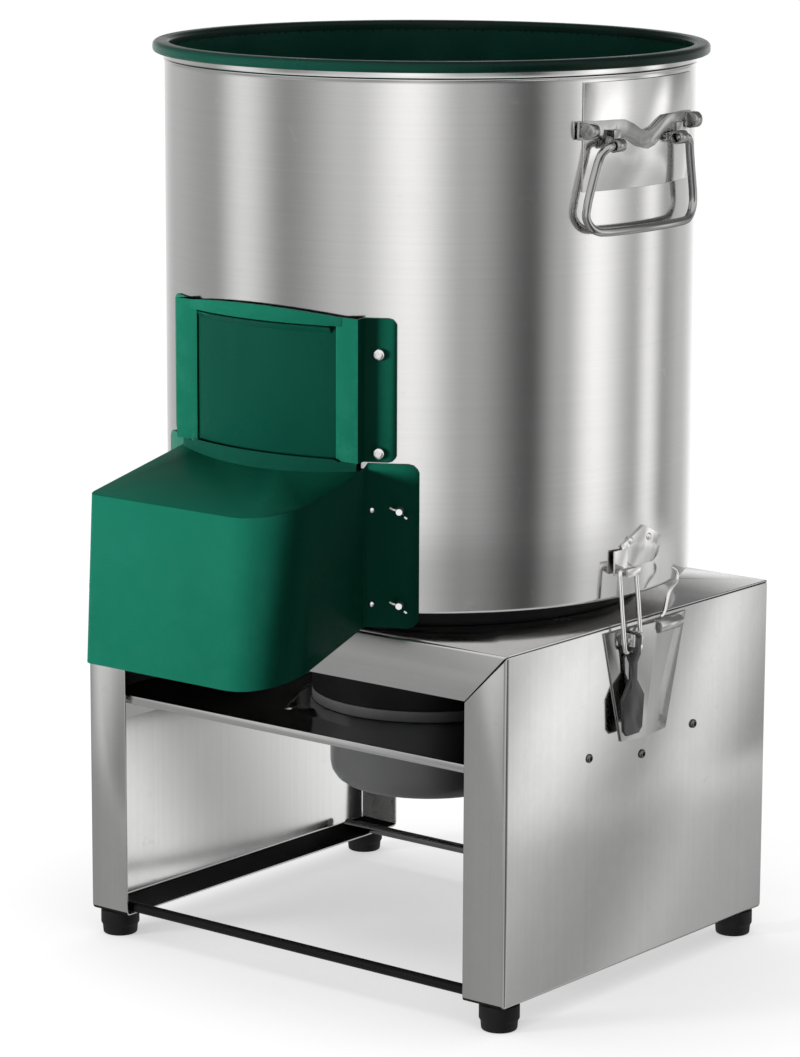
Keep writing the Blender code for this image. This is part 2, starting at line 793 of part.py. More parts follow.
# ------------------------------------------------------------------- drum

def outlet_cutter(name):
    """A wedge through the drum's wall at the outlet."""
    inner = DRUM_RADIUS - OUTLET_CUT
    outer = DRUM_RADIUS + OUTLET_CUT
    count = 7
    angles = [-OUTLET_ANGLE + 2 * OUTLET_ANGLE * i / (count - 1) for i in range(count)]
    points = [around(a, inner, 0)[:2] for a in angles]
    points += [around(a, outer, 0)[:2] for a in reversed(angles)]
    height = OUTLET_TOP - OUTLET_BOTTOM
    middle = Matrix.Translation((0, 0, (OUTLET_TOP + OUTLET_BOTTOM) / 2))
    return outline(name, points, height, middle)


def drum():
    inner = DRUM_RADIUS - DRUM_WALL
    bore = SLEEVE_RADIUS + RUNNING_GAP
    profile = [
        (inner, DRUM_TOP),
        (DRUM_RADIUS, DRUM_TOP),
        (DRUM_RADIUS, DRUM_BOTTOM),
        (bore, DRUM_BOTTOM),
        (bore, FLOOR_TOP),
        (inner, FLOOR_TOP),
    ]
    shell = turned("drum_shell", profile, STEEL, steps=96)
    cut(shell, outlet_cutter("drum_outlet"))


def drum_liner():
    """A green sleeve inside the drum with a rim that caps its edge."""
    rim_low = DRUM_TOP + GAP
    rim_top = rim_low + RIM_HEIGHT
    soft = RIM_HEIGHT / 4
    profile = [
        (LINER_INNER, rim_top - soft),
        (LINER_INNER + soft, rim_top),
        (RIM_RADIUS - soft, rim_top),
        (RIM_RADIUS, rim_top - soft),
        (RIM_RADIUS, rim_low + soft),
        (RIM_RADIUS - soft, rim_low),
        (LINER_OUTER, rim_low),
        (LINER_OUTER, FLOOR_TOP + GAP),
        (LINER_INNER, FLOOR_TOP + GAP),
    ]
    liner = turned("drum_liner", profile, GREEN_DARK, steps=96)
    cut(liner, outlet_cutter("liner_outlet"))


def drum_gasket():
    """The flat ring that the drum's floor stands on."""
    outer = HALF_DEPTH - BEND_RADIUS
    inner = outer - GASKET_WIDTH
    high = DRUM_BOTTOM - GAP
    low = BASE_TOP + GAP
    profile = [(inner, high), (outer, high), (outer, low), (inner, low)]
    turned("drum_gasket", profile, RUBBER, steps=64)


# ------------------------------------------------- outlet, gate and hood

def gate_frame():
    """Flanges on the drum, raised rails over the gate's edges and a bridge."""
    rail_y = -(DRUM_RADIUS * math.cos(math.radians(RAIL_OUTER_ANGLE)) + SHEET + RAIL_LIFT)
    for hand, side in (("left", -1), ("right", 1)):
        columns = arc_columns(
            side * FRAME_OUTER_ANGLE,
            side * FRAME_INNER_ANGLE,
            SKIN_RADIUS,
            FRAME_BOTTOM,
            FRAME_TOP,
            FRAME_CORNER,
            count=3,
            round_end=False,
        )
        for x, y in ((RAIL_OUTER, rail_y), (RAIL_INNER, rail_y)):
            columns.append(((side * x, y, FRAME_BOTTOM), (side * x, y, FRAME_TOP)))
        if side > 0:
            columns.reverse()
        half = strip(f"gate_frame_{hand}", columns, SHEET, GREEN, 1)
        if side < 0:
            frame = half
        else:
            right = half
    frame.name = "gate_frame"
    join(frame, right)
    bridge_radius = math.hypot(RAIL_INNER + BRIDGE_LAP, rail_y) + GAP
    angle = math.degrees(math.asin((RAIL_INNER + BRIDGE_LAP) / bridge_radius))
    columns = []
    steps = 10
    for step in range(steps + 1):
        share = 2 * step / steps - 1
        crown = FRAME_CROWN * (1 - share ** 2)
        low = around(angle * share, bridge_radius, FRAME_TOP - FRAME_BRIDGE)
        columns.append((low, around(angle * share, bridge_radius, FRAME_TOP + crown)))
    join(frame, strip("gate_frame_bridge", columns, SHEET, GREEN, 1))


def gate_panel():
    """A curved slide on the drum's wall, with a pull lip along its top."""
    low = GATE_TOP - GATE_HEIGHT
    neck = GATE_TOP - GATE_LIP
    lip_angle = RAIL_INNER_ANGLE - GATE_LIP_INSET
    steps = 10
    angles = [lip_angle * (2 * number / steps - 1) for number in range(steps + 1)]
    taper = lip_angle + GATE_LIP_TAPER
    angles = [-GATE_ANGLE, -taper] + angles + [taper, GATE_ANGLE]
    count = len(angles)
    points = []
    for angle in angles:
        reach = GATE_LIP_REACH if abs(angle) <= lip_angle else 0.0
        points += [
            around(angle, SKIN_RADIUS, low),
            around(angle, SKIN_RADIUS, neck),
            around(angle, SKIN_RADIUS + reach, GATE_TOP),
        ]
    faces = []
    for i in range(count - 1):
        for j in (0, 1):
            a = 3 * i + j
            faces.append((a, a + 3, a + 4, a + 1))
    panel = surface("gate_panel", points, faces, SHEET, GREEN, 1)
    set_origin(panel, (0, -SKIN_RADIUS, low))


def hood_outline(reach, side, corner):
    """The inside of one hood wall, from the drum to the front corner's end."""
    rear = around(side * FRAME_INNER_ANGLE, SKIN_RADIUS + SHEET, 0)
    inner = corner - SHEET
    centre_x = HOOD_HALF_WIDTH - corner
    centre_y = corner - reach
    points = [(rear[0], rear[1])]
    steps = 7
    for step in range(steps + 1):
        angle = math.radians(90 * step / steps)
        points.append((side * (centre_x + inner * math.cos(angle)), centre_y - inner * math.sin(angle)))
    return points


def hood_roof(y):
    """Height of the roof's edge at a distance in front of the drum's middle."""
    return hood_slope(y, HOOD_TOP_FRONT, HOOD_TOP_REAR, DRUM_RADIUS + HOOD_REACH_TOP)


def hood_slope(y, front, rear, reach):
    back = around(FRAME_INNER_ANGLE, SKIN_RADIUS, 0)[1]
    return DRUM_BOTTOM + front + (rear - front) * (y + reach) / (back + reach)


def hood_side(side, corner):
    """Columns of one flange and the wall in front of it."""
    flange = arc_columns(
        side * HOOD_FLANGE_ANGLE,
        side * (FRAME_INNER_ANGLE + 1.0),
        SKIN_RADIUS,
        DRUM_BOTTOM + HOOD_LOW_REAR,
        HOOD_FLANGE_TOP,
        HOOD_FLANGE_CORNER,
        count=4,
        round_end=False,
    )
    wall = []
    upper = hood_outline(DRUM_RADIUS + HOOD_REACH_TOP, side, corner)
    lower = hood_outline(HOOD_REACH, side, corner)
    for (ux, uy), (lx, ly) in zip(upper, lower):
        low = hood_slope(ly, HOOD_LOW_FRONT, HOOD_LOW_REAR, HOOD_REACH)
        wall.append(((lx, ly, low), (ux, uy, hood_roof(uy))))
    return flange, wall


def chute_hood():
    """A hood over the outlet, open below, with flanges on the drum."""
    flange, wall = hood_side(1, HOOD_CORNER_RIGHT)
    other_flange, other_wall = hood_side(-1, HOOD_CORNER_LEFT)
    columns = flange + wall + other_wall[::-1] + other_flange[::-1]
    points = [point for column in columns for point in column]
    faces = [(2 * i, 2 * i + 1, 2 * i + 3, 2 * i + 2) for i in range(len(columns) - 1)]
    first = 2 * len(flange) + 1
    roof = [first + 2 * i for i in range(len(wall) + len(other_wall))]
    steps = 8
    gate_clear = SKIN_RADIUS + SHEET + GAP + RUNNING_GAP
    for step in range(1, steps):
        angle = -FRAME_INNER_ANGLE + 2 * FRAME_INNER_ANGLE * step / steps
        x, y, _ = around(angle, gate_clear, 0)
        roof.append(len(points))
        points.append((x, y, hood_roof(y)))
    faces.append(tuple(reversed(roof)))
    surface("chute_hood", points, faces, SHEET, GREEN, 1)


def skin_bolt(name, angle, height):
    """A bolt head that points straight out from the drum."""
    seat = SKIN_RADIUS + SHEET + GAP
    rod(name, around(angle, seat, height), around(angle, seat + BOLT_HEAD, height), BOLT_RADIUS, BRIGHT_STEEL, 12)


def outlet_bolts():
    gate_heights = (FRAME_BOTTOM + GATE_BOLT_LOW_EDGE, FRAME_TOP - GATE_BOLT_TOP_EDGE)
    hood_low = DRUM_BOTTOM + HOOD_LOW_REAR + HOOD_BOLT_EDGE
    hood_heights = (hood_low, HOOD_FLANGE_TOP - 2 * HOOD_BOLT_EDGE)
    for hand, side in (("left", -1), ("right", 1)):
        for level, height in zip(("lower", "upper"), gate_heights):
            skin_bolt(f"gate_bolt_{hand}_{level}", side * GATE_BOLT_ANGLE, height)
        for level, height in zip(("lower", "upper"), hood_heights):
            skin_bolt(f"hood_bolt_{hand}_{level}", side * HOOD_BOLT_ANGLE, height)


# ---------------------------------------------------------------- handles

def handle_plate(name):
    spread = math.degrees(math.asin(HANDLE_PLATE_HALF_WIDTH / SKIN_RADIUS))
    columns = arc_columns(
        90 - spread,
        90 + spread,
        SKIN_RADIUS,
        DRUM_TOP - HANDLE_PLATE_LOW,
        DRUM_TOP - HANDLE_PLATE_HIGH,
    )
    return strip(name, columns, HANDLE_PLATE_SHEET, BRIGHT_STEEL, 1)


def handle_span(side, inner, outer):
    """The two ends, along Y, of a piece to one side of the handle's middle."""
    return sorted(HANDLE_OFFSET + side * y for y in (inner, outer))


def skin_x(radius, ends):
    """How far out the drum's surface comes between two places along Y."""
    return math.sqrt(radius ** 2 - min(abs(y) for y in ends) ** 2)


def handle_bracket(name):
    """A dipped strap with a knob at each end and two lugs that carry the bail."""
    radius = SKIN_RADIUS + HANDLE_PLATE_SHEET + GAP
    bottom = HANDLE_PIVOT_HEIGHT + STRAP_LIFT
    columns = []
    steps = 16
    for step in range(steps + 1):
        share = 2 * step / steps - 1
        dip = STRAP_DIP * (0.5 + 0.5 * math.cos(math.pi * min(1.0, abs(share) / STRAP_DIP_SHARE)))
        angle = 90 + math.degrees(math.asin((HANDLE_OFFSET + STRAP_HALF_WIDTH * share) / radius))
        low = around(angle, radius, bottom - dip)
        columns.append((low, around(angle, radius, bottom + STRAP_HEIGHT - dip)))
    strap = strip(name, columns, STRAP_SHEET, DARK_STEEL, 1)
    middle = bottom + STRAP_HEIGHT / 2
    for hand, side in (("front", -1), ("rear", 1)):
        ends = handle_span(side, STRAP_HALF_WIDTH - KNOB_LENGTH, STRAP_HALF_WIDTH)
        knob_x = skin_x(radius, ends) + KNOB_RADIUS
        line = [(knob_x, y, middle) for y in ends]
        join(strap, rod(f"{name}_knob_{hand}", line[0], line[1], KNOB_RADIUS))
        ends = handle_span(side, BARREL_INNER, BARREL_OUTER)
        line = [(HANDLE_PIVOT_X, y, HANDLE_PIVOT_HEIGHT) for y in ends]
        join(strap, rod(f"{name}_barrel_{hand}", line[0], line[1], BARREL_RADIUS, sides=16))
        ends = handle_span(side, BARREL_INNER + 2 * RUNNING_GAP, BARREL_OUTER - 2 * RUNNING_GAP)
        low = (skin_x(radius, ends) + GAP, ends[0], HANDLE_PIVOT_HEIGHT)
        join(strap, box(f"{name}_lug_{hand}", low, (HANDLE_PIVOT_X, ends[1], middle)))
    for hand, side in (("front", -1), ("rear", 1)):
        ends = handle_span(side, BARREL_INNER - BARREL_END_PLAY, BARREL_OUTER + BARREL_END_PLAY)
        line = [(HANDLE_PIVOT_X, y, HANDLE_PIVOT_HEIGHT) for y in ends]
        cut(strap, rod(f"{name}_bore_{hand}", line[0], line[1], HANDLE_ROD_RADIUS + GAP, sides=16))
    return strap


def handle_bail(name):
    """A bowed rod whose in-turned ends sit in the bracket's two barrels."""
    neck = BARREL_OUTER + BARREL_END_PLAY
    turn = HANDLE_SHOULDER - neck
    half = [(BARREL_INNER + 2 * RUNNING_GAP, 0.0), (neck, 0.0)]
    for step in (1, 2, 3):
        angle = math.radians(90 * step / 3)
        half.append((HANDLE_SHOULDER - turn + turn * math.sin(angle), -turn * (1 - math.cos(angle))))
    for step in range(6):
        angle = math.radians(90 * step / 5)
        half.append((
            HANDLE_HALF_WIDTH - HANDLE_CORNER + HANDLE_CORNER * math.cos(angle),
            -HANDLE_DROP + HANDLE_CORNER - HANDLE_CORNER * math.sin(angle),
        ))
    half.append((HANDLE_HALF_WIDTH / 3, -HANDLE_DROP))
    plan = half + [(-y, z) for y, z in reversed(half)]
    points = []
    for across, z in plan:
        y = HANDLE_OFFSET + across
        bow = math.sqrt(HANDLE_BOW_RADIUS ** 2 - y ** 2)
        share = min(1.0, max(0.0, -z) / turn)
        points.append((HANDLE_PIVOT_X + (bow - HANDLE_PIVOT_X) * share, y, HANDLE_PIVOT_HEIGHT + z))
    bail = wire(name, points, HANDLE_ROD_RADIUS, BRIGHT_STEEL)
    set_origin(bail, (HANDLE_PIVOT_X, HANDLE_OFFSET, HANDLE_PIVOT_HEIGHT))
    return bail


def handles():
    for hand, turn in (("right", 0), ("left", 180)):
        turn_about_drum(handle_plate(f"handle_plate_{hand}"), turn)
        bracket = handle_bracket(f"handle_bracket_{hand}")
        for modifier in bracket.modifiers:
            if modifier.type == "BOOLEAN":
                turn_about_drum(modifier.object, turn)
        turn_about_drum(bracket, turn)
        turn_about_drum(handle_bail(f"handle_bail_{hand}"), turn)


# ---------------------------------------------------------------- latches

def latch_keeper(name):
    """A five-sided plate on the drum with an upward hook at its foot."""
    columns = []
    count = 9
    for number in range(count):
        y = KEEPER_HALF_WIDTH * (2 * number / (count - 1) - 1)
        share = abs(y) / KEEPER_HALF_WIDTH
        high = KEEPER_HIGH - (KEEPER_HIGH - KEEPER_SHOULDER - KEEPER_EDGE) * share
        slope = max(0.0, abs(y) - KEEPER_FOOT) / (KEEPER_HALF_WIDTH - KEEPER_FOOT)
        low = KEEPER_LOW + (KEEPER_SHOULDER - KEEPER_EDGE - KEEPER_LOW) * slope
        angle = 90 + math.degrees(math.asin(y / SKIN_RADIUS))
        ends = (DRUM_BOTTOM + low, DRUM_BOTTOM + high)
        columns.append([around(angle, SKIN_RADIUS, height) for height in ends])
    plate = strip(name, columns, SHEET, BRIGHT_STEEL, 1)
    back = HOOK_INNER - SHEET
    floor = HOOK_BOTTOM + SHEET
    lip = floor + HOOK_LIP
    hook = [
        (back, HOOK_BOTTOM),
        (HOOK_OUTER + SHEET, HOOK_BOTTOM),
        (HOOK_OUTER + SHEET, lip),
        (HOOK_OUTER, lip),
        (HOOK_OUTER, floor),
        (HOOK_INNER, floor),
        (HOOK_INNER, HOOK_BOTTOM + HOOK_RISE),
        (back, HOOK_BOTTOM + HOOK_RISE),
    ]
    join(plate, outline(f"{name}_hook", hook, 2 * HOOK_HALF_WIDTH, side_view(LATCH_OFFSET)))
    return plate


def side_view(y):
    """Stands an outline of (x, z) up in the XZ plane at a given y."""
    return Matrix.Translation((0, y, 0)) @ Matrix.Rotation(math.radians(90), 4, "X")


def end_view(place):
    """Stands an outline of (y, z) up in the YZ plane about a given place."""
    upright = Matrix.Rotation(math.radians(90), 4, "X")
    return Matrix.Translation(place) @ Matrix.Rotation(math.radians(90), 4, "Z") @ upright


def latch_bracket(name):
    """A folded plate on the base with two ears and the lever's pin."""
    x = HALF_WIDTH + GAP
    high = BASE_TOP - BRACKET_HIGH
    low = BASE_TOP - BRACKET_LOW
    points = [
        (x, -BRACKET_TOP_HALF, high),
        (x, -BRACKET_LOW_HALF, low),
        (x + BRACKET_RISE_TOP, BRACKET_RIDGE_TOP, high),
        (x + BRACKET_RISE_LOW, BRACKET_RIDGE_LOW, low),
        (x, BRACKET_TOP_HALF, high),
        (x, BRACKET_LOW_HALF, low),
    ]
    faces = [(0, 1, 3, 2), (2, 3, 5, 4)]
    bracket = surface(name, points, faces, SHEET, STEEL, 1)
    px, pz = LEVER_PIVOT
    for number, side in enumerate((-1, 1), 1):
        ends = sorted((LATCH_OFFSET + side * EAR_INNER, LATCH_OFFSET + side * EAR_OUTER))
        root = (x + EAR_ROOT, ends[0], pz - LATCH_EYE)
        join(bracket, box(f"{name}_ear_{number}", root, (px + LATCH_EYE, ends[1], pz + LATCH_EYE)))
    pin_reach = EAR_OUTER + LATCH_PIN_PROUD
    ends = (LATCH_OFFSET - pin_reach, LATCH_OFFSET + pin_reach)
    join(bracket, rod(f"{name}_pin", (px, ends[0], pz), (px, ends[1], pz), LATCH_PIN_RADIUS, sides=12))
    ends = [(CLIP_BARREL_X, y, CLIP_BARREL_HEIGHT) for y in CLIP_BARREL_SPAN]
    join(bracket, rod(f"{name}_clip_barrel", ends[0], ends[1], CLIP_BARREL_RADIUS, sides=16))
    return bracket


def latch_lever(name):
    """A web with two eyes and a spade-shaped thumb plate."""
    px, pz = LEVER_PIVOT
    low = pz - LEVER_LENGTH
    waist = low + SPADE_HEIGHT
    eye = LATCH_EYE
    web = [(px + eye * math.cos(math.radians(t)), pz + eye * math.sin(math.radians(t))) for t in range(0, 181, 30)]
    web += [
        (px - eye, BAIL_PIVOT[1] - eye * 0.5),
        (px - SPADE_SHEET / 2, BAIL_PIVOT[1] - 2 * eye),
        (px - SPADE_SHEET / 2, waist - WEB_LAP),
        (px + SPADE_SHEET * 0.7, waist - WEB_LAP),
        (px + SPADE_SHEET * 0.7, BAIL_PIVOT[1] - 2 * eye),
        (px + eye, BAIL_PIVOT[1] - eye * 0.5),
    ]
    lever = outline(name, web, 2 * LATCH_WEB, side_view(LATCH_OFFSET), BLACK_PAINT)
    spade = [
        (SPADE_NECK, waist),
        (SPADE_HALF_WIDTH, waist - SPADE_SLOPE),
        (SPADE_HALF_WIDTH * 0.85, low + SPADE_TIP),
        (SPADE_HALF_WIDTH * 0.55, low),
    ]
    spade += [(-y, z) for y, z in reversed(spade)]
    join(lever, outline(f"{name}_spade", spade, SPADE_SHEET, end_view((px, LATCH_OFFSET, 0))))
    wide = 2 * LATCH_WEB
    for label, (bx, bz), radius in (
        ("pin", LEVER_PIVOT, LATCH_PIN_RADIUS),
        ("bail", BAIL_PIVOT, BAIL_ROD_RADIUS),
    ):
        ends = [(bx, LATCH_OFFSET + side * wide, bz) for side in (-1, 1)]
        cut(lever, rod(f"{name}_{label}_bore", ends[0], ends[1], radius + GAP, sides=12))
    set_origin(lever, (px, LATCH_OFFSET, pz))
    return lever


def latch_bail(name):
    """A wire loop from the lever's eye up to the keeper's hook."""
    bx, bz = BAIL_PIVOT
    inset = BAIL_HALF_WIDTH - BAIL_CORNER
    short = BAIL_CORNER * (1 - math.sqrt(0.5))
    half = [
        (BAIL_SPLIT, 0.0),
        (inset, 0.0),
        (BAIL_HALF_WIDTH - short, short),
        (BAIL_HALF_WIDTH, BAIL_CORNER),
        (BAIL_HALF_WIDTH, BAIL_LENGTH - BAIL_CORNER),
        (BAIL_HALF_WIDTH - short, BAIL_LENGTH - short),
        (inset, BAIL_LENGTH),
    ]
    plan = half + [(-y, z) for y, z in reversed(half)]
    points = [(bx - BAIL_LEAN * z / BAIL_LENGTH, LATCH_OFFSET + y, bz + z) for y, z in plan]
    bail = wire(name, points, BAIL_ROD_RADIUS, BRIGHT_STEEL)
    set_origin(bail, (bx, LATCH_OFFSET, bz))
    return bail


def latch_clip(name):
    """A bent wire safety clip that rises from the barrel on the bracket."""
    foot = CLIP_BARREL_HEIGHT + CLIP_BARREL_RADIUS + CLIP_WIRE_RADIUS + GAP
    points = [(CLIP_BARREL_X + out, y, foot + rise) for out, y, rise in CLIP_PATH]
    return wire(name, points, CLIP_WIRE_RADIUS, BRIGHT_STEEL)


def latches():
    for hand, turn in (("right", 0), ("left", 180)):
        keeper = latch_keeper(f"latch_keeper_{hand}")
        bracket = latch_bracket(f"latch_bracket_{hand}")
        lever = latch_lever(f"latch_lever_{hand}")
        for piece in (keeper, bracket, lever):
            for modifier in piece.modifiers:
                if modifier.type == "BOOLEAN":
                    turn_about_drum(modifier.object, turn)
            turn_about_drum(piece, turn)
        turn_about_drum(latch_bail(f"latch_bail_{hand}"), turn)
        turn_about_drum(latch_clip(f"latch_clip_{hand}"), turn)


# ----------------------------------------------------------------- switch

def switch_box():
    """A box on the rear panel with a rocker sunk in its face."""
    width, depth, height = SWITCH_BOX
    back = HALF_DEPTH + GAP
    low = DECK_HEIGHT + SWITCH_BOX_LIFT
    face = back + depth
    middle = low + height / 2
    case = box(
        "switch_box",
        (SWITCH_BOX_X - width / 2, back, low),
        (SWITCH_BOX_X + width / 2, face, low + height),
        BLACK_PAINT,
    )
    half = ROCKER_WIDTH / 2 + RUNNING_GAP
    deep = ROCKER_RADIUS + RUNNING_GAP
    cut(case, box(
        "switch_pocket",
        (SWITCH_BOX_X - half, face + ROCKER_PROUD - deep, middle - deep),
        (SWITCH_BOX_X + half, face + deep, middle + deep),
    ))
    points = []
    for step in range(13):
        angle = math.radians(90 + ROCKER_TILT + 180 * step / 12)
        points.append((ROCKER_RADIUS * math.cos(angle), ROCKER_RADIUS * math.sin(angle)))
    place = (SWITCH_BOX_X, face + ROCKER_PROUD, middle)
    rocker = outline("switch_rocker", points, ROCKER_WIDTH, end_view(place), RUBBER)
    set_origin(rocker, place)
    gland_x = SWITCH_BOX_X - width / 4
    y = back + depth / 2
    rod(
        "cable_gland",
        (gland_x, y, low - GAP - GLAND_LENGTH),
        (gland_x, y, low - GAP),
        GLAND_RADIUS,
        BLACK_PAINT,
        16,
    )


clear_scene()
PARTS = make_collection("grape_crusher_destemmer")
CUTTERS = make_collection("cutters")
CENTRE = bpy.data.objects.new("machine_centre", None)
PARTS.objects.link(CENTRE)
CENTRE.location = (0, CENTRING_SHIFT, 0)

STEEL = make_material("brushed_stainless", (0.62, 0.62, 0.62), 0.28, 1.0)
BRIGHT_STEEL = make_material("polished_steel", (0.72, 0.72, 0.72), 0.18, 1.0)
DARK_STEEL = make_material("inner_steel", (0.30, 0.30, 0.31), 0.40, 1.0)
GREEN = make_material("green_powder_coat", (0.012, 0.205, 0.127), 0.32, 0.0)
GREEN_DARK = make_material("green_liner", (0.006, 0.075, 0.050), 0.38, 0.0)
BLACK_PAINT = make_material("black_paint", (0.015, 0.015, 0.015), 0.40, 0.0)
RUBBER = make_material("black_rubber", (0.010, 0.010, 0.010), 0.75, 0.0)
MOTOR_PAINT = make_material("motor_grey_paint", (0.09, 0.09, 0.095), 0.42, 0.0)

side_panel("side_panel_left", -1)
side_panel("side_panel_right", 1)
top_plate()
deck_plate()
rear_panel()
tie_rods()
feet()
panel_screws()
motor()
bearing_housing()
seal_sleeve()
main_shaft()
sweeper()
floor_screen()
screen_ring()
beater_rotor()
rotor_cap()
drum()
drum_liner()
drum_gasket()
gate_frame()
gate_panel()
chute_hood()
outlet_bolts()
handles()
latches()
switch_box()
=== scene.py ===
import json
import math

import bmesh
import bpy
from mathutils import Matrix, Vector

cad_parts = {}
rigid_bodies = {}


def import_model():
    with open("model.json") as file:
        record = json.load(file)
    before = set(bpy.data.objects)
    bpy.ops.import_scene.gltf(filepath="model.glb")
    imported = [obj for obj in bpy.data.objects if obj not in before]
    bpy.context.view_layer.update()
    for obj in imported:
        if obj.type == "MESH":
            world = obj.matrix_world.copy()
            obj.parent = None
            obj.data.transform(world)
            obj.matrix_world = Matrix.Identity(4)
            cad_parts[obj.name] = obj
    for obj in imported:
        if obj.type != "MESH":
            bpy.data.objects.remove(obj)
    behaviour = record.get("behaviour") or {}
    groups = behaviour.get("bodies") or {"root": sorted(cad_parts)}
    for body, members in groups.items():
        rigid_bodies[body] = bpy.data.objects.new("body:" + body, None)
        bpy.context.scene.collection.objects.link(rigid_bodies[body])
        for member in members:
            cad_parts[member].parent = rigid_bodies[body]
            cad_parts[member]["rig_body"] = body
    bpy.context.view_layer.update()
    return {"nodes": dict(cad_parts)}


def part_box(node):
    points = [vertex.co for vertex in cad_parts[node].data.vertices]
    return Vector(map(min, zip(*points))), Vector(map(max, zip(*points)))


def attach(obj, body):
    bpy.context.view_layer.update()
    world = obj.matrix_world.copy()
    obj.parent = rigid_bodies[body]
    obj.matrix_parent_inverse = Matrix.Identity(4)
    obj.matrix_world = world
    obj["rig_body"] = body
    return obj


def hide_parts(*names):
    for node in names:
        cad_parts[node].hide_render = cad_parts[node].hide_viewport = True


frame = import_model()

cadNodes = frame["nodes"]
drumLow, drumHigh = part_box("drum_shell")
centre = (drumLow + drumHigh) / 2       # the drum's upright axis goes through here
drumRadius = (drumHigh.x - drumLow.x) / 2
made = {}                               # materials and node groups by name


# Node trees

def addNode(tree, kind, inputs=None, **settings):
    node = tree.nodes.new(kind)
    for name, value in settings.items():
        setattr(node, name, value)
    for name, value in (inputs or {}).items():
        if isinstance(value, bpy.types.NodeSocket):
            tree.links.new(value, node.inputs[name])
        else:
            node.inputs[name].default_value = value
    return node


def newGroup(name, kind, inputs, outputs):
    tree = bpy.data.node_groups.new(name, kind)
    for label, socketType, value in inputs:
        socket = tree.interface.new_socket(label, in_out="INPUT", socket_type=socketType)
        if value is not None:
            socket.default_value = value
    for label, socketType in outputs:
        tree.interface.new_socket(label, in_out="OUTPUT", socket_type=socketType)
    made[name] = tree
    return tree, tree.nodes.new("NodeGroupInput").outputs, tree.nodes.new("NodeGroupOutput")


def blendValues(tree, factor, low, high):
    node = addNode(tree, "ShaderNodeMapRange", {"Value": factor, "To Min": low, "To Max": high})
    return node.outputs[0]


def blendColours(tree, factor, first, second):
    node = addNode(tree, "ShaderNodeMix", data_type="RGBA")
    for socket, value in ((node.inputs[0], factor), (node.inputs[6], first), (node.inputs[7], second)):
        if isinstance(value, bpy.types.NodeSocket):
            tree.links.new(value, socket)
        else:
            socket.default_value = value
    return node.outputs[2]


def math2(tree, operation, first, second=0.0, clamp=False):
    node = addNode(tree, "ShaderNodeMath", {0: first, 1: second}, operation=operation, use_clamp=clamp)
    return node.outputs[0]


# Effects that several finishes share

def makeBrushedGrain():
    tree, start, end = newGroup(
        "brushedGrain",
        "ShaderNodeTree",
        [("Vector", "NodeSocketVector", None), ("Lines", "NodeSocketVector", (900, 900, 6))],
        [("Height", "NodeSocketFloat"), ("Tone", "NodeSocketFloat")],
    )
    stretched = addNode(
        tree, "ShaderNodeVectorMath", {0: start["Vector"], 1: start["Lines"]}, operation="MULTIPLY"
    ).outputs[0]
    fine = addNode(tree, "ShaderNodeTexNoise", {"Vector": stretched, "Scale": 1.0, "Detail": 3.0})
    broad = addNode(tree, "ShaderNodeTexNoise", {"Vector": stretched, "Scale": 0.13, "Detail": 2.0})
    mixed = math2(tree, "ADD", fine.outputs[0], broad.outputs[0])
    tree.links.new(mixed, end.inputs["Height"])
    tone = addNode(tree, "ShaderNodeMapRange", {"Value": mixed, "From Min": 0.7, "From Max": 1.3})
    tree.links.new(tone.outputs[0], end.inputs["Tone"])


def makeSmudges():
    tree, start, end = newGroup(
        "smudges",
        "ShaderNodeTree",
        [
            ("Vector", "NodeSocketVector", None),
            ("Scale", "NodeSocketFloat", 9.0),
            ("Low", "NodeSocketFloat", 0.1),
            ("High", "NodeSocketFloat", 0.2),
        ],
        [("Value", "NodeSocketFloat"), ("Mask", "NodeSocketFloat")],
    )
    cloud = addNode(
        tree,
        "ShaderNodeTexNoise",
        {"Vector": start["Vector"], "Scale": start["Scale"], "Detail": 5.0, "Distortion": 0.6},
    )
    mask = addNode(
        tree, "ShaderNodeMapRange", {"Value": cloud.outputs[0], "From Min": 0.35, "From Max": 0.7}
    ).outputs[0]
    tree.links.new(mask, end.inputs["Mask"])
    value = blendValues(tree, mask, start["Low"], start["High"])
    tree.links.new(value, end.inputs["Value"])


def makeHairlines():
    tree, start, end = newGroup(
        "hairlines",
        "ShaderNodeTree",
        [
            ("Vector", "NodeSocketVector", None),
            ("Scale", "NodeSocketFloat", 30.0),
            ("Width", "NodeSocketFloat", 0.004),
        ],
        [("Mask", "NodeSocketFloat")],
    )
    cloud = addNode(
        tree,
        "ShaderNodeTexNoise",
        {"Vector": start["Vector"], "Scale": start["Scale"], "Detail": 1.0, "Distortion": 2.5},
    )
    off = math2(tree, "ABSOLUTE", math2(tree, "SUBTRACT", cloud.outputs[0], 0.5))
    tree.links.new(math2(tree, "LESS_THAN", off, start["Width"]), end.inputs["Mask"])


def makeEdgeWear():
    tree, start, end = newGroup(
        "edgeWear",
        "ShaderNodeTree",
        [
            ("Vector", "NodeSocketVector", None),
            ("Scale", "NodeSocketFloat", 60.0),
            ("Amount", "NodeSocketFloat", 0.5),
        ],
        [("Mask", "NodeSocketFloat")],
    )
    geometry = addNode(tree, "ShaderNodeNewGeometry")
    sharp = addNode(
        tree,
        "ShaderNodeMapRange",
        {"Value": geometry.outputs["Pointiness"], "From Min": 0.53, "From Max": 0.62},
    )
    cloud = addNode(
        tree,
        "ShaderNodeTexNoise",
        {"Vector": start["Vector"], "Scale": start["Scale"], "Detail": 6.0, "Roughness": 0.7},
    )
    broken = addNode(
        tree, "ShaderNodeMapRange", {"Value": cloud.outputs[0], "From Min": 0.45, "From Max": 0.6}
    )
    worn = math2(tree, "MULTIPLY", sharp.outputs[0], broken.outputs[0])
    tree.links.new(math2(tree, "MULTIPLY", worn, start["Amount"], True), end.inputs["Mask"])


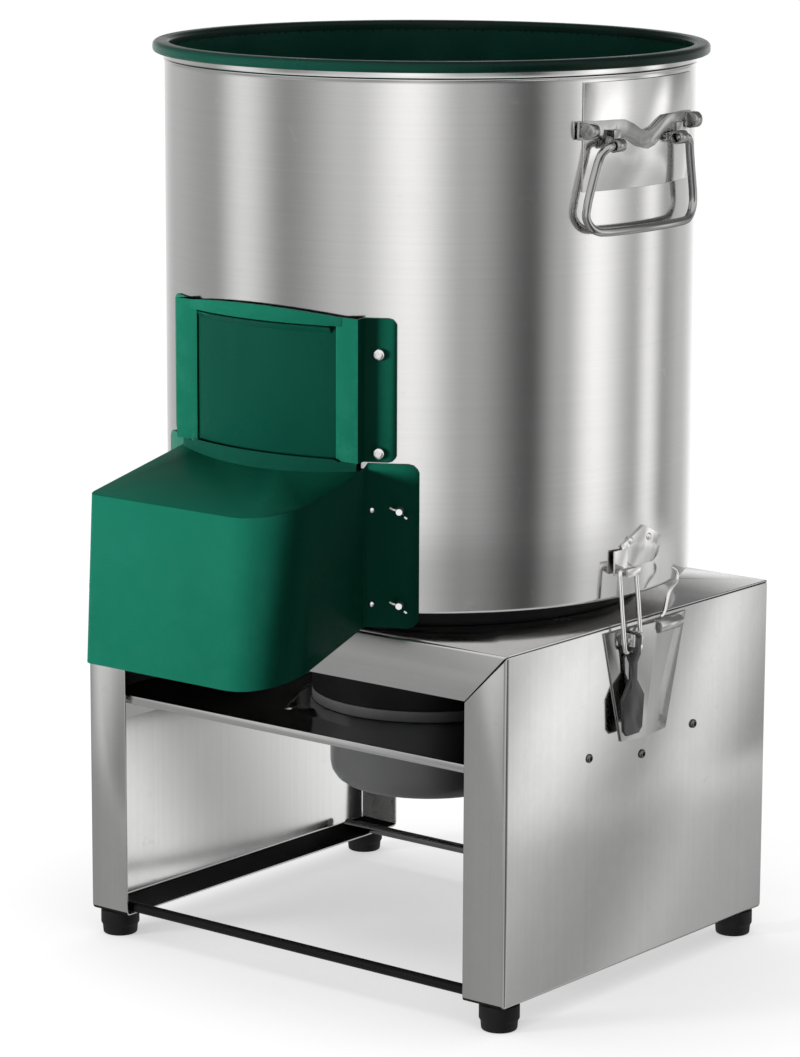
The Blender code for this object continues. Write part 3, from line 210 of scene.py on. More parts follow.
def makeDust():
    tree, start, end = newGroup(
        "dust",
        "ShaderNodeTree",
        [
            ("Vector", "NodeSocketVector", None),
            ("Scale", "NodeSocketFloat", 40.0),
            ("Amount", "NodeSocketFloat", 0.2),
        ],
        [("Mask", "NodeSocketFloat")],
    )
    geometry = addNode(tree, "ShaderNodeNewGeometry")
    parts = addNode(tree, "ShaderNodeSeparateXYZ", {0: geometry.outputs["Normal"]})
    upward = addNode(
        tree, "ShaderNodeMapRange", {"Value": parts.outputs[2], "From Min": 0.3, "From Max": 1.0}
    )
    cloud = addNode(
        tree,
        "ShaderNodeTexNoise",
        {"Vector": start["Vector"], "Scale": start["Scale"], "Detail": 8.0, "Roughness": 0.65},
    )
    patchy = addNode(
        tree, "ShaderNodeMapRange", {"Value": cloud.outputs[0], "From Min": 0.35, "From Max": 0.75}
    )
    lying = math2(tree, "MULTIPLY", upward.outputs[0], patchy.outputs[0])
    tree.links.new(math2(tree, "MULTIPLY", lying, start["Amount"], True), end.inputs["Mask"])


def makePaintSkin():
    tree, start, end = newGroup(
        "paintSkin",
        "ShaderNodeTree",
        [
            ("Vector", "NodeSocketVector", None),
            ("Peel", "NodeSocketFloat", 650.0),
            ("Colour", "NodeSocketColor", (0.5, 0.5, 0.5, 1)),
            ("Spread", "NodeSocketFloat", 0.12),
        ],
        [("Height", "NodeSocketFloat"), ("Colour", "NodeSocketColor")],
    )
    peel = addNode(
        tree, "ShaderNodeTexNoise", {"Vector": start["Vector"], "Scale": start["Peel"], "Detail": 2.0}
    )
    tree.links.new(peel.outputs[0], end.inputs["Height"])
    cloud = addNode(tree, "ShaderNodeTexNoise", {"Vector": start["Vector"], "Scale": 14.0, "Detail": 4.0})
    low = math2(tree, "SUBTRACT", 1.0, start["Spread"])
    high = math2(tree, "ADD", 1.0, start["Spread"])
    level = blendValues(tree, cloud.outputs[0], low, high)
    scaled = addNode(tree, "ShaderNodeVectorMath", {0: start["Colour"], "Scale": level}, operation="SCALE")
    tree.links.new(scaled.outputs[0], end.inputs["Colour"])


# Finishes

steelFinishes = {
    "drumSteel": {
        "colour": (0.72, 0.715, 0.71), "lines": (4, 4, 1500), "depth": 0.004,
        "rough": (0.09, 0.15), "wear": 0.2, "slot": "stainless",
    },
    "panelSteel": {
        "colour": (0.60, 0.597, 0.592), "lines": (1300, 1300, 5), "depth": 0.006,
        "rough": (0.13, 0.19), "wear": 0.3, "slot": "stainless",
    },
    "deckSteel": {
        "colour": (0.60, 0.597, 0.592), "lines": (5, 1300, 1300), "depth": 0.008,
        "rough": (0.14, 0.22), "wear": 0.3, "slot": "stainless",
    },
    "polishedSteel": {
        "colour": (0.80, 0.795, 0.785), "lines": (700, 9, 700), "depth": 0.003,
        "rough": (0.10, 0.16), "wear": 0.3, "slot": "polished_steel",
    },
    "handleWire": {
        "colour": (0.42, 0.418, 0.415), "lines": (9, 900, 900), "depth": 0.003,
        "rough": (0.07, 0.13), "wear": 0.4, "slot": "dark_steel",
    },
    "leverSteel": {
        "colour": (0.075, 0.075, 0.076), "lines": (900, 900, 9), "depth": 0.004,
        "rough": (0.14, 0.24), "wear": 0.4, "slot": "dark_steel",
    },
    "darkSteel": {
        "colour": (0.15, 0.15, 0.152), "lines": (9, 900, 900), "depth": 0.004,
        "rough": (0.10, 0.20), "wear": 0.4, "slot": "dark_steel",
    },
}

paintFinishes = {
    "hoodGreen": {
        "colour": (0.0116, 0.205, 0.127), "worn": (0.05, 0.33, 0.23), "rough": (0.26, 0.38),
        "peel": 650.0, "coat": 0.0, "gloss": 0.04, "dust": 0.03, "slot": "green_coat",
    },
    "linerGreen": {
        "colour": (0.006, 0.085, 0.056), "worn": (0.03, 0.2, 0.14), "rough": (0.24, 0.36),
        "peel": 500.0, "coat": 0.0, "gloss": 0.15, "dust": 0.02, "slot": "liner_green",
    },
    # Inner wall of the liner: a brighter copy of the rim's liner green, painted light inside the drum
    "linerInsidePaintedLight": {
        "colour": (0.0135, 0.235, 0.155), "worn": (0.03, 0.3, 0.2), "rough": (0.30, 0.42),
        "peel": 500.0, "coat": 0.0, "gloss": 0.30, "dust": 0.02, "slot": "liner_green",
    },
    # Gate panel and hood lip: a darker copy of the hood's green, painted shade for the recess between the
    # frame's rails
    "gateGreenPaintedShade": {
        "colour": (0.0058, 0.088, 0.056), "worn": (0.04, 0.26, 0.18), "rough": (0.24, 0.34),
        "peel": 650.0, "coat": 0.0, "gloss": 0.04, "dust": 0.02, "slot": "green_coat",
    },
    # Black paint for the switch box, gland and front tie rod, also used as painted shade on the panels'
    # bottom flanges and the bearing housing
    "blackPaintAndPaintedShade": {
        "colour": (0.008, 0.008, 0.0083), "worn": (0.013, 0.013, 0.013), "rough": (0.34, 0.42),
        "peel": 800.0, "coat": 0.0, "gloss": 0.12, "dust": 0.006, "slot": "black_paint",
    },
    "motorPaint": {
        "colour": (0.115, 0.116, 0.118), "worn": (0.15, 0.15, 0.15), "rough": (0.32, 0.46),
        "peel": 420.0, "coat": 0.1, "gloss": 0.4, "dust": 0.06, "slot": "motor_paint",
    },
    "footRubber": {
        "colour": (0.009, 0.009, 0.0095), "worn": (0.05, 0.05, 0.05), "rough": (0.55, 0.75),
        "peel": 1400.0, "coat": 0.0, "gloss": 0.3, "dust": 0.08, "slot": "black_rubber",
    },
}


def newMaterial(name):
    material = bpy.data.materials.new(name)
    material.use_nodes = True
    tree = material.node_tree
    shader = tree.nodes["Principled BSDF"]
    where = addNode(tree, "ShaderNodeTexCoord").outputs["Object"]
    made[name] = material
    return tree, shader, where


def useGroup(tree, name, inputs):
    return addNode(tree, "ShaderNodeGroup", inputs, node_tree=made[name]).outputs


def makeSteel(name, finish):
    tree, shader, where = newMaterial(name)
    grain = useGroup(tree, "brushedGrain", {"Vector": where, "Lines": finish["lines"]})
    low, high = finish["rough"]
    film = useGroup(tree, "smudges", {"Vector": where, "Low": low, "High": high})
    lines = useGroup(tree, "hairlines", {"Vector": where})
    wear = useGroup(tree, "edgeWear", {"Vector": where, "Amount": finish["wear"]})
    colour = finish["colour"]
    dull = [0.96 * part for part in colour] + [1]
    bright = [min(0.9, 1.2 * part) for part in colour] + [1]
    toned = blendColours(tree, grain["Tone"], dull, list(colour) + [1])
    tree.links.new(blendColours(tree, wear["Mask"], toned, bright), shader.inputs["Base Color"])
    scratched = math2(tree, "MULTIPLY", lines["Mask"], 0.06)
    tree.links.new(math2(tree, "ADD", film["Value"], scratched), shader.inputs["Roughness"])
    bump = addNode(
        tree,
        "ShaderNodeBump",
        {"Height": grain["Height"], "Strength": finish["depth"], "Distance": 0.0004},
    )
    tree.links.new(bump.outputs[0], shader.inputs["Normal"])
    shader.inputs["Metallic"].default_value = 1.0


def makePaint(name, finish):
    tree, shader, where = newMaterial(name)
    colour = list(finish["colour"]) + [1]
    skin = useGroup(tree, "paintSkin", {"Vector": where, "Peel": finish["peel"], "Colour": colour})
    low, high = finish["rough"]
    film = useGroup(tree, "smudges", {"Vector": where, "Scale": 16.0, "Low": low, "High": high})
    wear = useGroup(tree, "edgeWear", {"Vector": where, "Amount": 0.45})
    dust = useGroup(tree, "dust", {"Vector": where, "Amount": finish["dust"]})
    worn = blendColours(tree, wear["Mask"], skin["Colour"], list(finish["worn"]) + [1])
    dusty = blendColours(tree, dust["Mask"], worn, [0.30, 0.29, 0.27, 1])
    tree.links.new(dusty, shader.inputs["Base Color"])
    dull = math2(tree, "MULTIPLY", dust["Mask"], 0.5)
    tree.links.new(math2(tree, "ADD", film["Value"], dull), shader.inputs["Roughness"])
    bump = addNode(
        tree, "ShaderNodeBump", {"Height": skin["Height"], "Strength": 0.12, "Distance": 0.0002}
    )
    tree.links.new(bump.outputs[0], shader.inputs["Normal"])
    shader.inputs["Coat Weight"].default_value = finish["coat"]
    shader.inputs["Coat Roughness"].default_value = 0.12
    shader.inputs["Specular IOR Level"].default_value = finish["gloss"]


for makeEffect in (makeBrushedGrain, makeSmudges, makeHairlines, makeEdgeWear, makeDust, makePaintSkin):
    makeEffect()
for finishName, finishValues in steelFinishes.items():
    makeSteel(finishName, finishValues)
for finishName, finishValues in paintFinishes.items():
    makePaint(finishName, finishValues)
print("finishes made")


# Meshes

def camelName(node):
    first, *rest = node.split("_")
    return first + "".join(word.capitalize() for word in rest)


# Gives a finished piece its material and body, and hides what it stands for
def settle(piece, body, finish, replaced=()):
    piece.data.materials.clear()
    piece.data.materials.append(made[finish])
    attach(piece, body)
    if replaced:
        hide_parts(*replaced)
    return piece


def meshPiece(name, bm):
    mesh = bpy.data.meshes.new(name)
    bm.to_mesh(mesh)
    bm.free()
    piece = bpy.data.objects.new(name, mesh)
    bpy.context.scene.collection.objects.link(piece)
    return piece


def smoothed(piece, angle=35):
    piece.data.shade_smooth()
    piece.data.set_sharp_from_angle(angle=math.radians(angle))
    return piece


def addBevel(piece, width, segments=2, angle=38):
    bevel = piece.modifiers.new("edges", "BEVEL")
    bevel.width = width
    bevel.segments = segments
    bevel.limit_method = "ANGLE"
    bevel.angle_limit = math.radians(angle)
    bevel.harden_normals = True
    bevel.use_clamp_overlap = True
    return piece


def addSubdivision(piece, levels):
    smooth = piece.modifiers.new("smooth", "SUBSURF")
    smooth.levels = levels
    smooth.render_levels = levels
    return piece


def mergedCopy(node, finish, bevel=0.0004, segments=2, levels=0):
    bm = bmesh.new()
    bm.from_mesh(cadNodes[node].data)
    bmesh.ops.remove_doubles(bm, verts=bm.verts, dist=0.000002)
    bmesh.ops.dissolve_limit(bm, angle_limit=math.radians(0.4), verts=bm.verts, edges=bm.edges)
    piece = meshPiece(camelName(node), bm)
    piece.data.shade_smooth()
    if levels:
        addSubdivision(piece, levels)
    elif bevel:
        addBevel(piece, bevel, segments)
    else:
        smoothed(piece)
    return settle(piece, cadNodes[node]["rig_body"], finish, [node])


# A closed outline from (radius, height, fillet) corners
def filleted(corners, steps=5):
    points = []
    count = len(corners)
    for index, (r, z, fillet) in enumerate(corners):
        here = Vector((r, z))
        if fillet <= 0:
            points.append(here)
            continue
        before = Vector(corners[index - 1][:2]) - here
        after = Vector(corners[(index + 1) % count][:2]) - here
        half = before.angle(after) / 2
        reach = fillet / math.tan(half)
        middle = here + (before.normalized() + after.normalized()).normalized() * fillet / math.sin(half)
        first = here + before.normalized() * reach - middle
        last = here + after.normalized() * reach - middle
        turn = first.angle_signed(last)
        for step in range(steps + 1):
            points.append(middle + Matrix.Rotation(-turn * step / steps, 2) @ first)
    return points


# Turns an outline of (radius, height) points about an upright axis
def lathe(name, outline, middle=None, segments=192, closed=True, leaveOut=None):
    middle = middle or centre
    bm = bmesh.new()
    rings = []
    for radius, height in outline:
        ring = []
        for step in range(segments):
            angle = 2 * math.pi * step / segments
            place = (middle.x + radius * math.sin(angle), middle.y - radius * math.cos(angle), height)
            ring.append(bm.verts.new(place))
        rings.append(ring)
    pairs = list(zip(rings, rings[1:]))
    if closed:
        pairs.append((rings[-1], rings[0]))
    for low, high in pairs:
        for step in range(segments):
            following = (step + 1) % segments
            corners = (low[step], low[following], high[following], high[step])
            if leaveOut and leaveOut(step, low[step].co.z, high[step].co.z):
                continue
            bm.faces.new(corners)
    bmesh.ops.remove_doubles(bm, verts=bm.verts, dist=0.000001)
    bmesh.ops.delete(bm, geom=[v for v in bm.verts if not v.link_faces], context="VERTS")
    bmesh.ops.recalc_face_normals(bm, faces=bm.faces)
    return smoothed(meshPiece(name, bm))


# Keeps the edges of an opening crisp, so that the wall round it isn't shaded as if it were bent
def sharpenBorders(piece):
    uses = {}
    for face in piece.data.polygons:
        for key in face.edge_keys:
            uses[key] = uses.get(key, 0) + 1
    for edge in piece.data.edges:
        if uses[edge.key] == 1:
            edge.use_edge_sharp = True


# Drum, its green liner and the ring under it

drum = {
    "wall": 0.0012,
    "floorHole": 0.0244,
    "cornerRadius": 0.003,
    "beadHeight": 0.0052,     # below the top edge
    "beadProud": 0.0008,
    "beadHalf": 0.0016,
    "segments": 180,          # two degrees each, so the outlet's edges fall on a step
    "outletHalfSteps": 9,
    "outletLow": 0.003,
    "outletHigh": 0.096,
}


def overOutlet(step, low, high):
    steps = drum["segments"]
    half = drum["outletHalfSteps"]
    beside = half <= step < steps - half
    bottom = drumLow.z + drum["outletLow"]
    top = drumLow.z + drum["outletHigh"]
    return not beside and min(low, high) > bottom - 0.0001 and max(low, high) < top + 0.0001


def makeDrum():
    r = drumRadius
    bottom, top = drumLow.z, drumHigh.z
    corner = drum["cornerRadius"]
    points = [(drum["floorHole"], bottom), (r * 0.5, bottom)]
    for step in range(6):
        angle = math.radians(90 * step / 5)
        points.append((r - corner + corner * math.sin(angle), bottom + corner - corner * math.cos(angle)))
    points += [(r, bottom + drum["outletHigh"]), (r, bottom + drum["outletHigh"] + drum["cornerRadius"])]
    bead = top - drum["beadHeight"]
    points += [(r, (bottom + bead) / 2), (r, bead - 2 * drum["beadHalf"])]
    for step in range(-4, 5):
        lift = drum["beadProud"] * (0.5 + 0.5 * math.cos(math.pi * step / 4))
        points.append((r + lift, bead + drum["beadHalf"] * step / 4))
    points += [(r, top - 0.001), (r, top)]
    shell = lathe("drumShell", points, segments=drum["segments"], closed=False, leaveOut=overOutlet)
    sharpenBorders(shell)
    wall = shell.modifiers.new("wall", "SOLIDIFY")
    wall.thickness = drum["wall"]
    wall.offset = -1
    settle(shell, "machine", "drumSteel", ["drum_shell"])


liner = {"inset": 0.0035, "wall": 0.0019, "rimGap": 0.0003, "rimFillets": (0.0022, 0.0034, 0.0030)}
gasket = {"width": 0.040, "edge": 0.003}


def makeLiner():
    low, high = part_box("drum_liner")
    inner = drumRadius - liner["inset"]
    rimRadius = high.x
    rimLow = drumHigh.z + liner["rimGap"]
    outletTop = drumLow.z + drum["outletHigh"]
    levels = [low.z, drumLow.z + drum["outletLow"], outletTop, outletTop + drum["cornerRadius"]]
    points = [(inner, level) for level in levels + [rimLow + 0.001]]
    wallPiece = lathe("linerWall", points, segments=drum["segments"], closed=False, leaveOut=overOutlet)
    wallPiece.data.flip_normals()
    sharpenBorders(wallPiece)
    wall = wallPiece.modifiers.new("wall", "SOLIDIFY")
    wall.thickness = liner["wall"]
    wall.offset = -1
    # the liner's inner wall takes the brighter green copy as painted light
    settle(wallPiece, "machine", "linerInsidePaintedLight", ["drum_liner"])
    under, outside, inside = liner["rimFillets"]
    outline = filleted(
        [
            (inner, rimLow, 0),
            (rimRadius, rimLow, under),
            (rimRadius, high.z, outside),
            (inner, high.z, inside),
        ]
    )
    settle(lathe("linerRim", outline, segments=240), "machine", "linerGreen", ["drum_liner"])


def makeGasket():
    low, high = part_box("drum_gasket")
    outer = high.x
    inner = outer - gasket["width"]
    edge = gasket["edge"]
    outline = filleted(
        [(inner, low.z, edge), (outer, low.z, edge), (outer, high.z, edge), (inner, high.z, edge)]
    )
    settle(lathe("drumGasket", outline, segments=128), "machine", "footRubber", ["drum_gasket"])


makeDrum()
makeLiner()
makeGasket()
print("drum made")


# Base, hood, drive, handles and latches: smooth copies with rounded edges

copyFinishes = {
    "panelSteel": {
        "nodes": ["side_panel_left", "side_panel_right", "latch_bracket_left", "latch_bracket_right"],
        "bevel": 0.0005,
    },
    "deckSteel": {"nodes": ["top_plate", "deck_plate", "rear_panel"], "bevel": 0.0005},
    "hoodGreen": {"nodes": ["gate_frame", "chute_hood"], "bevel": 0.0006},
    # the gate panel takes the darker green copy as painted shade
    "gateGreenPaintedShade": {"nodes": ["gate_panel"], "bevel": 0.0006},
    "polishedSteel": {
        "nodes": [
            "sweeper", "floor_screen", "screen_ring", "beater_rotor", "handle_plate_left",
            "handle_plate_right", "latch_keeper_left", "latch_keeper_right",
        ],
        "bevel": 0.0004,
    },
    "handleWire": {"nodes": ["handle_bracket_left", "handle_bracket_right"], "bevel": 0.0005},
    "leverSteel": {"nodes": ["latch_lever_left", "latch_lever_right"], "bevel": 0.0005},
    "blackPaintAndPaintedShade": {"nodes": ["switch_box", "switch_rocker"], "bevel": 0.0012},
}
roundCopies = {
    "motorPaint": ["motor_body"],
    "polishedSteel": ["main_shaft", "rotor_cap", "seal_sleeve"],
    "darkSteel": ["rear_tie_rod"],
    # the bearing housing takes the black finish as painted shade for the dark compartment above the deck
    "blackPaintAndPaintedShade": ["front_tie_rod", "bearing_housing"],
}
wireCopies = {
    "handleWire": ["handle_bail_left", "handle_bail_right"],
    "polishedSteel": ["latch_bail_left", "latch_bail_right", "latch_clip_left", "latch_clip_right"],
}

for finishName, group in copyFinishes.items():
    for node in group["nodes"]:
        mergedCopy(node, finishName, group["bevel"])
for finishName, group in roundCopies.items():
    for node in group:
        mergedCopy(node, finishName, bevel=0)
for finishName, group in wireCopies.items():
    for node in group:
        mergedCopy(node, finishName, levels=1)


# The turned-in bottom edge of a side panel gets the black finish as painted shade, darkening the flange
# where it lies in shadow
def paintFlangeShade(name):
    panel = bpy.data.objects[name]
    # the black finish on the flange faces is painted shade
    panel.data.materials.append(made["blackPaintAndPaintedShade"])
    bottom = min(vertex.co.z for vertex in panel.data.vertices)
    for face in panel.data.polygons:
        if face.center.z < bottom + 0.0025 and abs(face.center.x) < panelInside:
            face.material_index = 1


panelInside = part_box("side_panel_right")[1].x - 0.0018
paintFlangeShade("sidePanelLeft")
paintFlangeShade("sidePanelRight")


# The turned-up lip of the hood, which the gate slides down behind

lip = {
    "inner": 0.2057, "wall": 0.0011, "halfAngle": 23.6, "rise": 0.0102, "sag": 0.0039,
    "sillShare": 0.815,       # between the gate's rails it stands a little higher
    "sillRise": 0.0016,
}


def makeHoodLip():
    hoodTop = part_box("chute_hood")[1].z
    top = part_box("gate_frame")[0].z - 0.0001
    bm = bmesh.new()
    steps = 48
    before = None
    for step in range(steps + 1):
        share = 2 * step / steps - 1
        turn = math.radians(lip["halfAngle"] * share)
        bottom = hoodTop - lip["rise"] + lip["sag"] * share * share
        edge = top + lip["sillRise"] if abs(share) < lip["sillShare"] else top
        ring = []
        for reach, height in (
            (lip["inner"], bottom), (lip["inner"] + lip["wall"], bottom),
            (lip["inner"] + lip["wall"], edge), (lip["inner"], edge),
        ):
            place = (centre.x + reach * math.sin(turn), centre.y - reach * math.cos(turn), height)
            ring.append(bm.verts.new(place))
        if before:
            for index in range(4):
                following = (index + 1) % 4
                bm.faces.new((before[index], before[following], ring[following], ring[index]))
        else:
            bm.faces.new(ring)
        before = ring
    bm.faces.new(list(reversed(before)))
    bmesh.ops.recalc_face_normals(bm, faces=bm.faces)
    piece = meshPiece("hoodLip", bm)
    piece.data.shade_smooth()
    addBevel(piece, 0.0003)
    # the hood lip also takes the darker green copy, painted shade under the gate
    settle(piece, "machine", "gateGreenPaintedShade")


makeHoodLip()


# Feet

foot = {"tipRadius": 0.0132, "waist": 0.0138, "edge": 0.0016}


def makeFeet():
    for end in ("front", "rear"):
        for hand in ("left", "right"):
            node = f"foot_{end}_{hand}"
            low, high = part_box(node)
            radius = (high.x - low.x) / 2
            height = high.z - low.z
            edge = foot["edge"]
            outline = filleted(
                [
                    (0, low.z, 0),
                    (foot["tipRadius"], low.z, edge),
                    (foot["waist"], low.z + 0.35 * height, 0.004),
                    (radius, low.z + 0.45 * height, 0.0006),
                    (radius, high.z, edge),
                    (0, high.z, 0),
                ],
                4,
            )
            piece = lathe(camelName(node), outline, (low + high) / 2, 64)
            settle(piece, "machine", "footRubber", [node])


makeFeet()
print("base, hood, drive and handles made")


# Screws, bolts, rivets and wing nuts are placed by one tree, and ribs and welds by two more

def makeFastenerTree():
    tree, start, end = newGroup(
        "placeFasteners",
        "GeometryNodeTree",
        [
            ("Geometry", "NodeSocketGeometry", None),
            ("Head", "NodeSocketObject", None),
            ("Radius", "NodeSocketFloat", 0.004),
            ("Height", "NodeSocketFloat", 0.002),
            ("Finish", "NodeSocketMaterial", None),
        ],
        [("Geometry", "NodeSocketGeometry")],
    )
    head = addNode(tree, "GeometryNodeObjectInfo", {"Object": start["Head"]})
    facing = addNode(tree, "GeometryNodeInputNamedAttribute", {"Name": "facing"}, data_type="FLOAT_VECTOR")
    turn = addNode(tree, "FunctionNodeAlignRotationToVector", {"Vector": facing.outputs[0]}, axis="Z")
    size = addNode(
        tree,
        "ShaderNodeCombineXYZ",
        {"X": start["Radius"], "Y": start["Radius"], "Z": start["Height"]},
    )
    placed = addNode(
        tree,
        "GeometryNodeInstanceOnPoints",
        {
            "Points": start["Geometry"],
            "Instance": head.outputs["Geometry"],
            "Rotation": turn.outputs[0],
            "Scale": size.outputs[0],
        },
    )
    real = addNode(tree, "GeometryNodeRealizeInstances", {"Geometry": placed.outputs[0]})
    painted = addNode(
        tree, "GeometryNodeSetMaterial", {"Geometry": real.outputs[0], "Material": start["Finish"]}
    )
    tree.links.new(painted.outputs[0], end.inputs[0])


def makeRibTree():
    tree, start, end = newGroup(
        "ringOfRibs",
        "GeometryNodeTree",
        [
            ("Geometry", "NodeSocketGeometry", None),
            ("Count", "NodeSocketInt", 24),
            ("Ring Radius", "NodeSocketFloat", 0.05),
            ("Centre", "NodeSocketVector", (0, 0, 0)),
            ("Rib Size", "NodeSocketVector", (0.002, 0.002, 0.002)),
            ("Finish", "NodeSocketMaterial", None),
        ],
        [("Geometry", "NodeSocketGeometry")],
    )
    ring = addNode(
        tree, "GeometryNodeMeshCircle", {"Vertices": start["Count"], "Radius": start["Ring Radius"]}
    )
    rib = addNode(
        tree,
        "GeometryNodeMeshCube",
        {"Size": start["Rib Size"], "Vertices X": 3, "Vertices Y": 3, "Vertices Z": 3},
    )
    outward = addNode(tree, "GeometryNodeInputPosition")
    turn = addNode(tree, "FunctionNodeAlignRotationToVector", {"Vector": outward.outputs[0]}, axis="X")
    placed = addNode(
        tree,
        "GeometryNodeInstanceOnPoints",
        {"Points": ring.outputs[0], "Instance": rib.outputs["Mesh"], "Rotation": turn.outputs[0]},
    )
    real = addNode(tree, "GeometryNodeRealizeInstances", {"Geometry": placed.outputs[0]})
    moved = addNode(
        tree, "GeometryNodeTransform", {"Geometry": real.outputs[0], "Translation": start["Centre"]}
    )
    painted = addNode(
        tree, "GeometryNodeSetMaterial", {"Geometry": moved.outputs[0], "Material": start["Finish"]}
    )
    tree.links.new(painted.outputs[0], end.inputs[0])


def makeWeldTree():
    tree, start, end = newGroup(
        "weldBead",
        "GeometryNodeTree",
        [
            ("Geometry", "NodeSocketGeometry", None),
            ("Spacing", "NodeSocketFloat", 0.0012),
            ("Radius", "NodeSocketFloat", 0.0018),
            ("Finish", "NodeSocketMaterial", None),
        ],
        [("Geometry", "NodeSocketGeometry")],
    )
    path = addNode(tree, "GeometryNodeMeshToCurve", {0: start["Geometry"]})
    spots = addNode(
        tree,
        "GeometryNodeCurveToPoints",
        {"Curve": path.outputs[0], "Length": start["Spacing"]},
        mode="LENGTH",
    )
    ripple = addNode(tree, "GeometryNodeMeshIcoSphere", {"Radius": start["Radius"], "Subdivisions": 2})
    placed = addNode(
        tree,
        "GeometryNodeInstanceOnPoints",
        {
            "Points": spots.outputs["Points"],
            "Instance": ripple.outputs["Mesh"],
            "Rotation": spots.outputs["Rotation"],
            "Scale": (0.3, 1.0, 0.75),
        },
    )
    real = addNode(tree, "GeometryNodeRealizeInstances", {"Geometry": placed.outputs[0]})
    painted = addNode(
        tree, "GeometryNodeSetMaterial", {"Geometry": real.outputs[0], "Material": start["Finish"]}
    )
    tree.links.new(painted.outputs[0], end.inputs[0])


# Runs a tree on a base object and keeps the result as one plain mesh
def grown(name, base, treeName, values, body, finish, replaced=()):
    tree = made[treeName]
    modifier = base.modifiers.new("grow", "NODES")
    modifier.node_group = tree
    for item in tree.interface.items_tree:
        if item.in_out == "INPUT" and item.name in values:
            modifier[item.identifier] = values[item.name]
        if item.in_out == "INPUT" and item.name == "Finish":
            modifier[item.identifier] = made[finish]
    bpy.context.view_layer.update()
    graph = bpy.context.evaluated_depsgraph_get()
    mesh = bpy.data.meshes.new_from_object(base.evaluated_get(graph))
    bpy.data.objects.remove(base)
    piece = bpy.data.objects.new(name, mesh)
    bpy.context.scene.collection.objects.link(piece)
    for attribute in [a for a in mesh.attributes if a.name == "facing"]:
        mesh.attributes.remove(attribute)
    smoothed(piece)
    return settle(piece, body, finish, replaced)


def pointsObject(places):
    mesh = bpy.data.meshes.new("places")
    mesh.from_pydata([place for place, facing in places], [], [])
    facings = mesh.attributes.new("facing", "FLOAT_VECTOR", "POINT")
    for item, (place, facing) in zip(facings.data, places):
        item.vector = facing
    base = bpy.data.objects.new("places", mesh)
    bpy.context.scene.collection.objects.link(base)
    return base


# Adds a turned head from (radius, height, hexagonal) rings, from the foot to the middle
def ringHead(bm, rings, sides=24):
    before = None
    for radius, height, hexagonal in rings:
        ring = []
        for step in range(sides):
            angle = 360 * step / sides
            reach = radius
            if hexagonal:
                reach /= math.cos(math.radians((angle % 60) - 30))
            turn = math.radians(angle)
            ring.append(bm.verts.new((reach * math.cos(turn), reach * math.sin(turn), height)))
        if before:
            for step in range(sides):
                following = (step + 1) % sides
                bm.faces.new((before[step], before[following], ring[following], ring[step]))
        else:
            bm.faces.new(list(reversed(ring)))
        before = ring
    bm.faces.new(before)


def headTemplate(rings, wings=False):
    bm = bmesh.new()
    ringHead(bm, rings)
    if wings:
        outline = [(0.45, 0.2), (1.5, 0.9), (1.95, 1.7), (1.75, 2.25), (1.2, 2.1), (0.45, 1.1)]
        for side in (-1, 1):
            for face in (-0.16, 0.16):
                corners = [bm.verts.new((side * x, face, z)) for x, z in outline]
                bm.faces.new(corners)
            bm.verts.ensure_lookup_table()
            count = len(outline)
            first = bm.verts[-2 * count:-count]
            second = bm.verts[-count:]
            for index in range(count):
                following = (index + 1) % count
                bm.faces.new((first[index], first[following], second[following], second[index]))
    bmesh.ops.recalc_face_normals(bm, faces=bm.faces)
    return meshPiece("head", bm)


heads = {
    "socket": [
        (1.0, 0.0, False), (1.0, 0.35, False), (0.93, 0.62, False), (0.76, 0.88, False),
        (0.56, 1.0, False), (0.48, 1.0, True), (0.46, 0.35, True),
    ],
    "hexagon": [
        (0.86, 0.0, True), (0.86, 0.82, True), (0.80, 1.0, True), (0.45, 1.0, False), (0.40, 1.25, False),
    ],
    "rivet": [
        (1.0, 0.0, False), (0.96, 0.35, False), (0.8, 0.7, False), (0.5, 0.93, False), (0.2, 1.0, False),
    ],
    "wing": [
        (1.0, 0.0, False), (0.98, 0.2, False), (0.62, 1.1, False), (0.55, 1.25, False), (0.3, 1.25, False),
    ],
}


def fasten(name, kind, places, radius, height, finish, body="machine", replaced=()):
    head = headTemplate(heads[kind], wings=kind == "wing")
    values = {"Head": head, "Radius": radius, "Height": height}
    piece = grown(name, pointsObject(places), "placeFasteners", values, body, finish, replaced)
    bpy.data.objects.remove(head)
    return piece


# Where a screw head on the drum's side sits, and which way it faces
def outwardPlace(node):
    low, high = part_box(node)
    middle = (low + high) / 2
    facing = Vector((middle.x - centre.x, middle.y - centre.y, 0)).normalized()
    return middle, facing


screws = {
    "panelRadius": 0.0034, "panelHeight": 0.0019, "gateRadius": 0.0045, "gateHeight": 0.003,
    "wingRadius": 0.0042, "wingHeight": 0.0036, "seat": 0.00155, "dotAngle": 26.4,
    "dotRadius": 0.0022, "dotHeight": 0.0014,
}
keeperRivets = {"radius": 0.0028, "height": 0.0013, "apart": 0.022, "below": 0.0095, "seat": 0.0018}
motorDetail = {
    "bolts": 8, "boltRing": 0.083, "boltSeat": 0.0084, "boltRadius": 0.0040, "boltHeight": 0.0030,
    "ribs": 28, "ribRing": 0.040, "ribSize": (0.030, 0.0022, 0.0016),
}
weld = {"spacing": 0.0011, "radius": 0.0016, "fromBottom": 0.006, "fromTop": 0.009}


def onDrum(angle, reach, height):
    turn = math.radians(angle)
    facing = Vector((math.sin(turn), -math.cos(turn), 0))
    place = Vector((centre.x, centre.y, height)) + reach * facing
    return place, facing


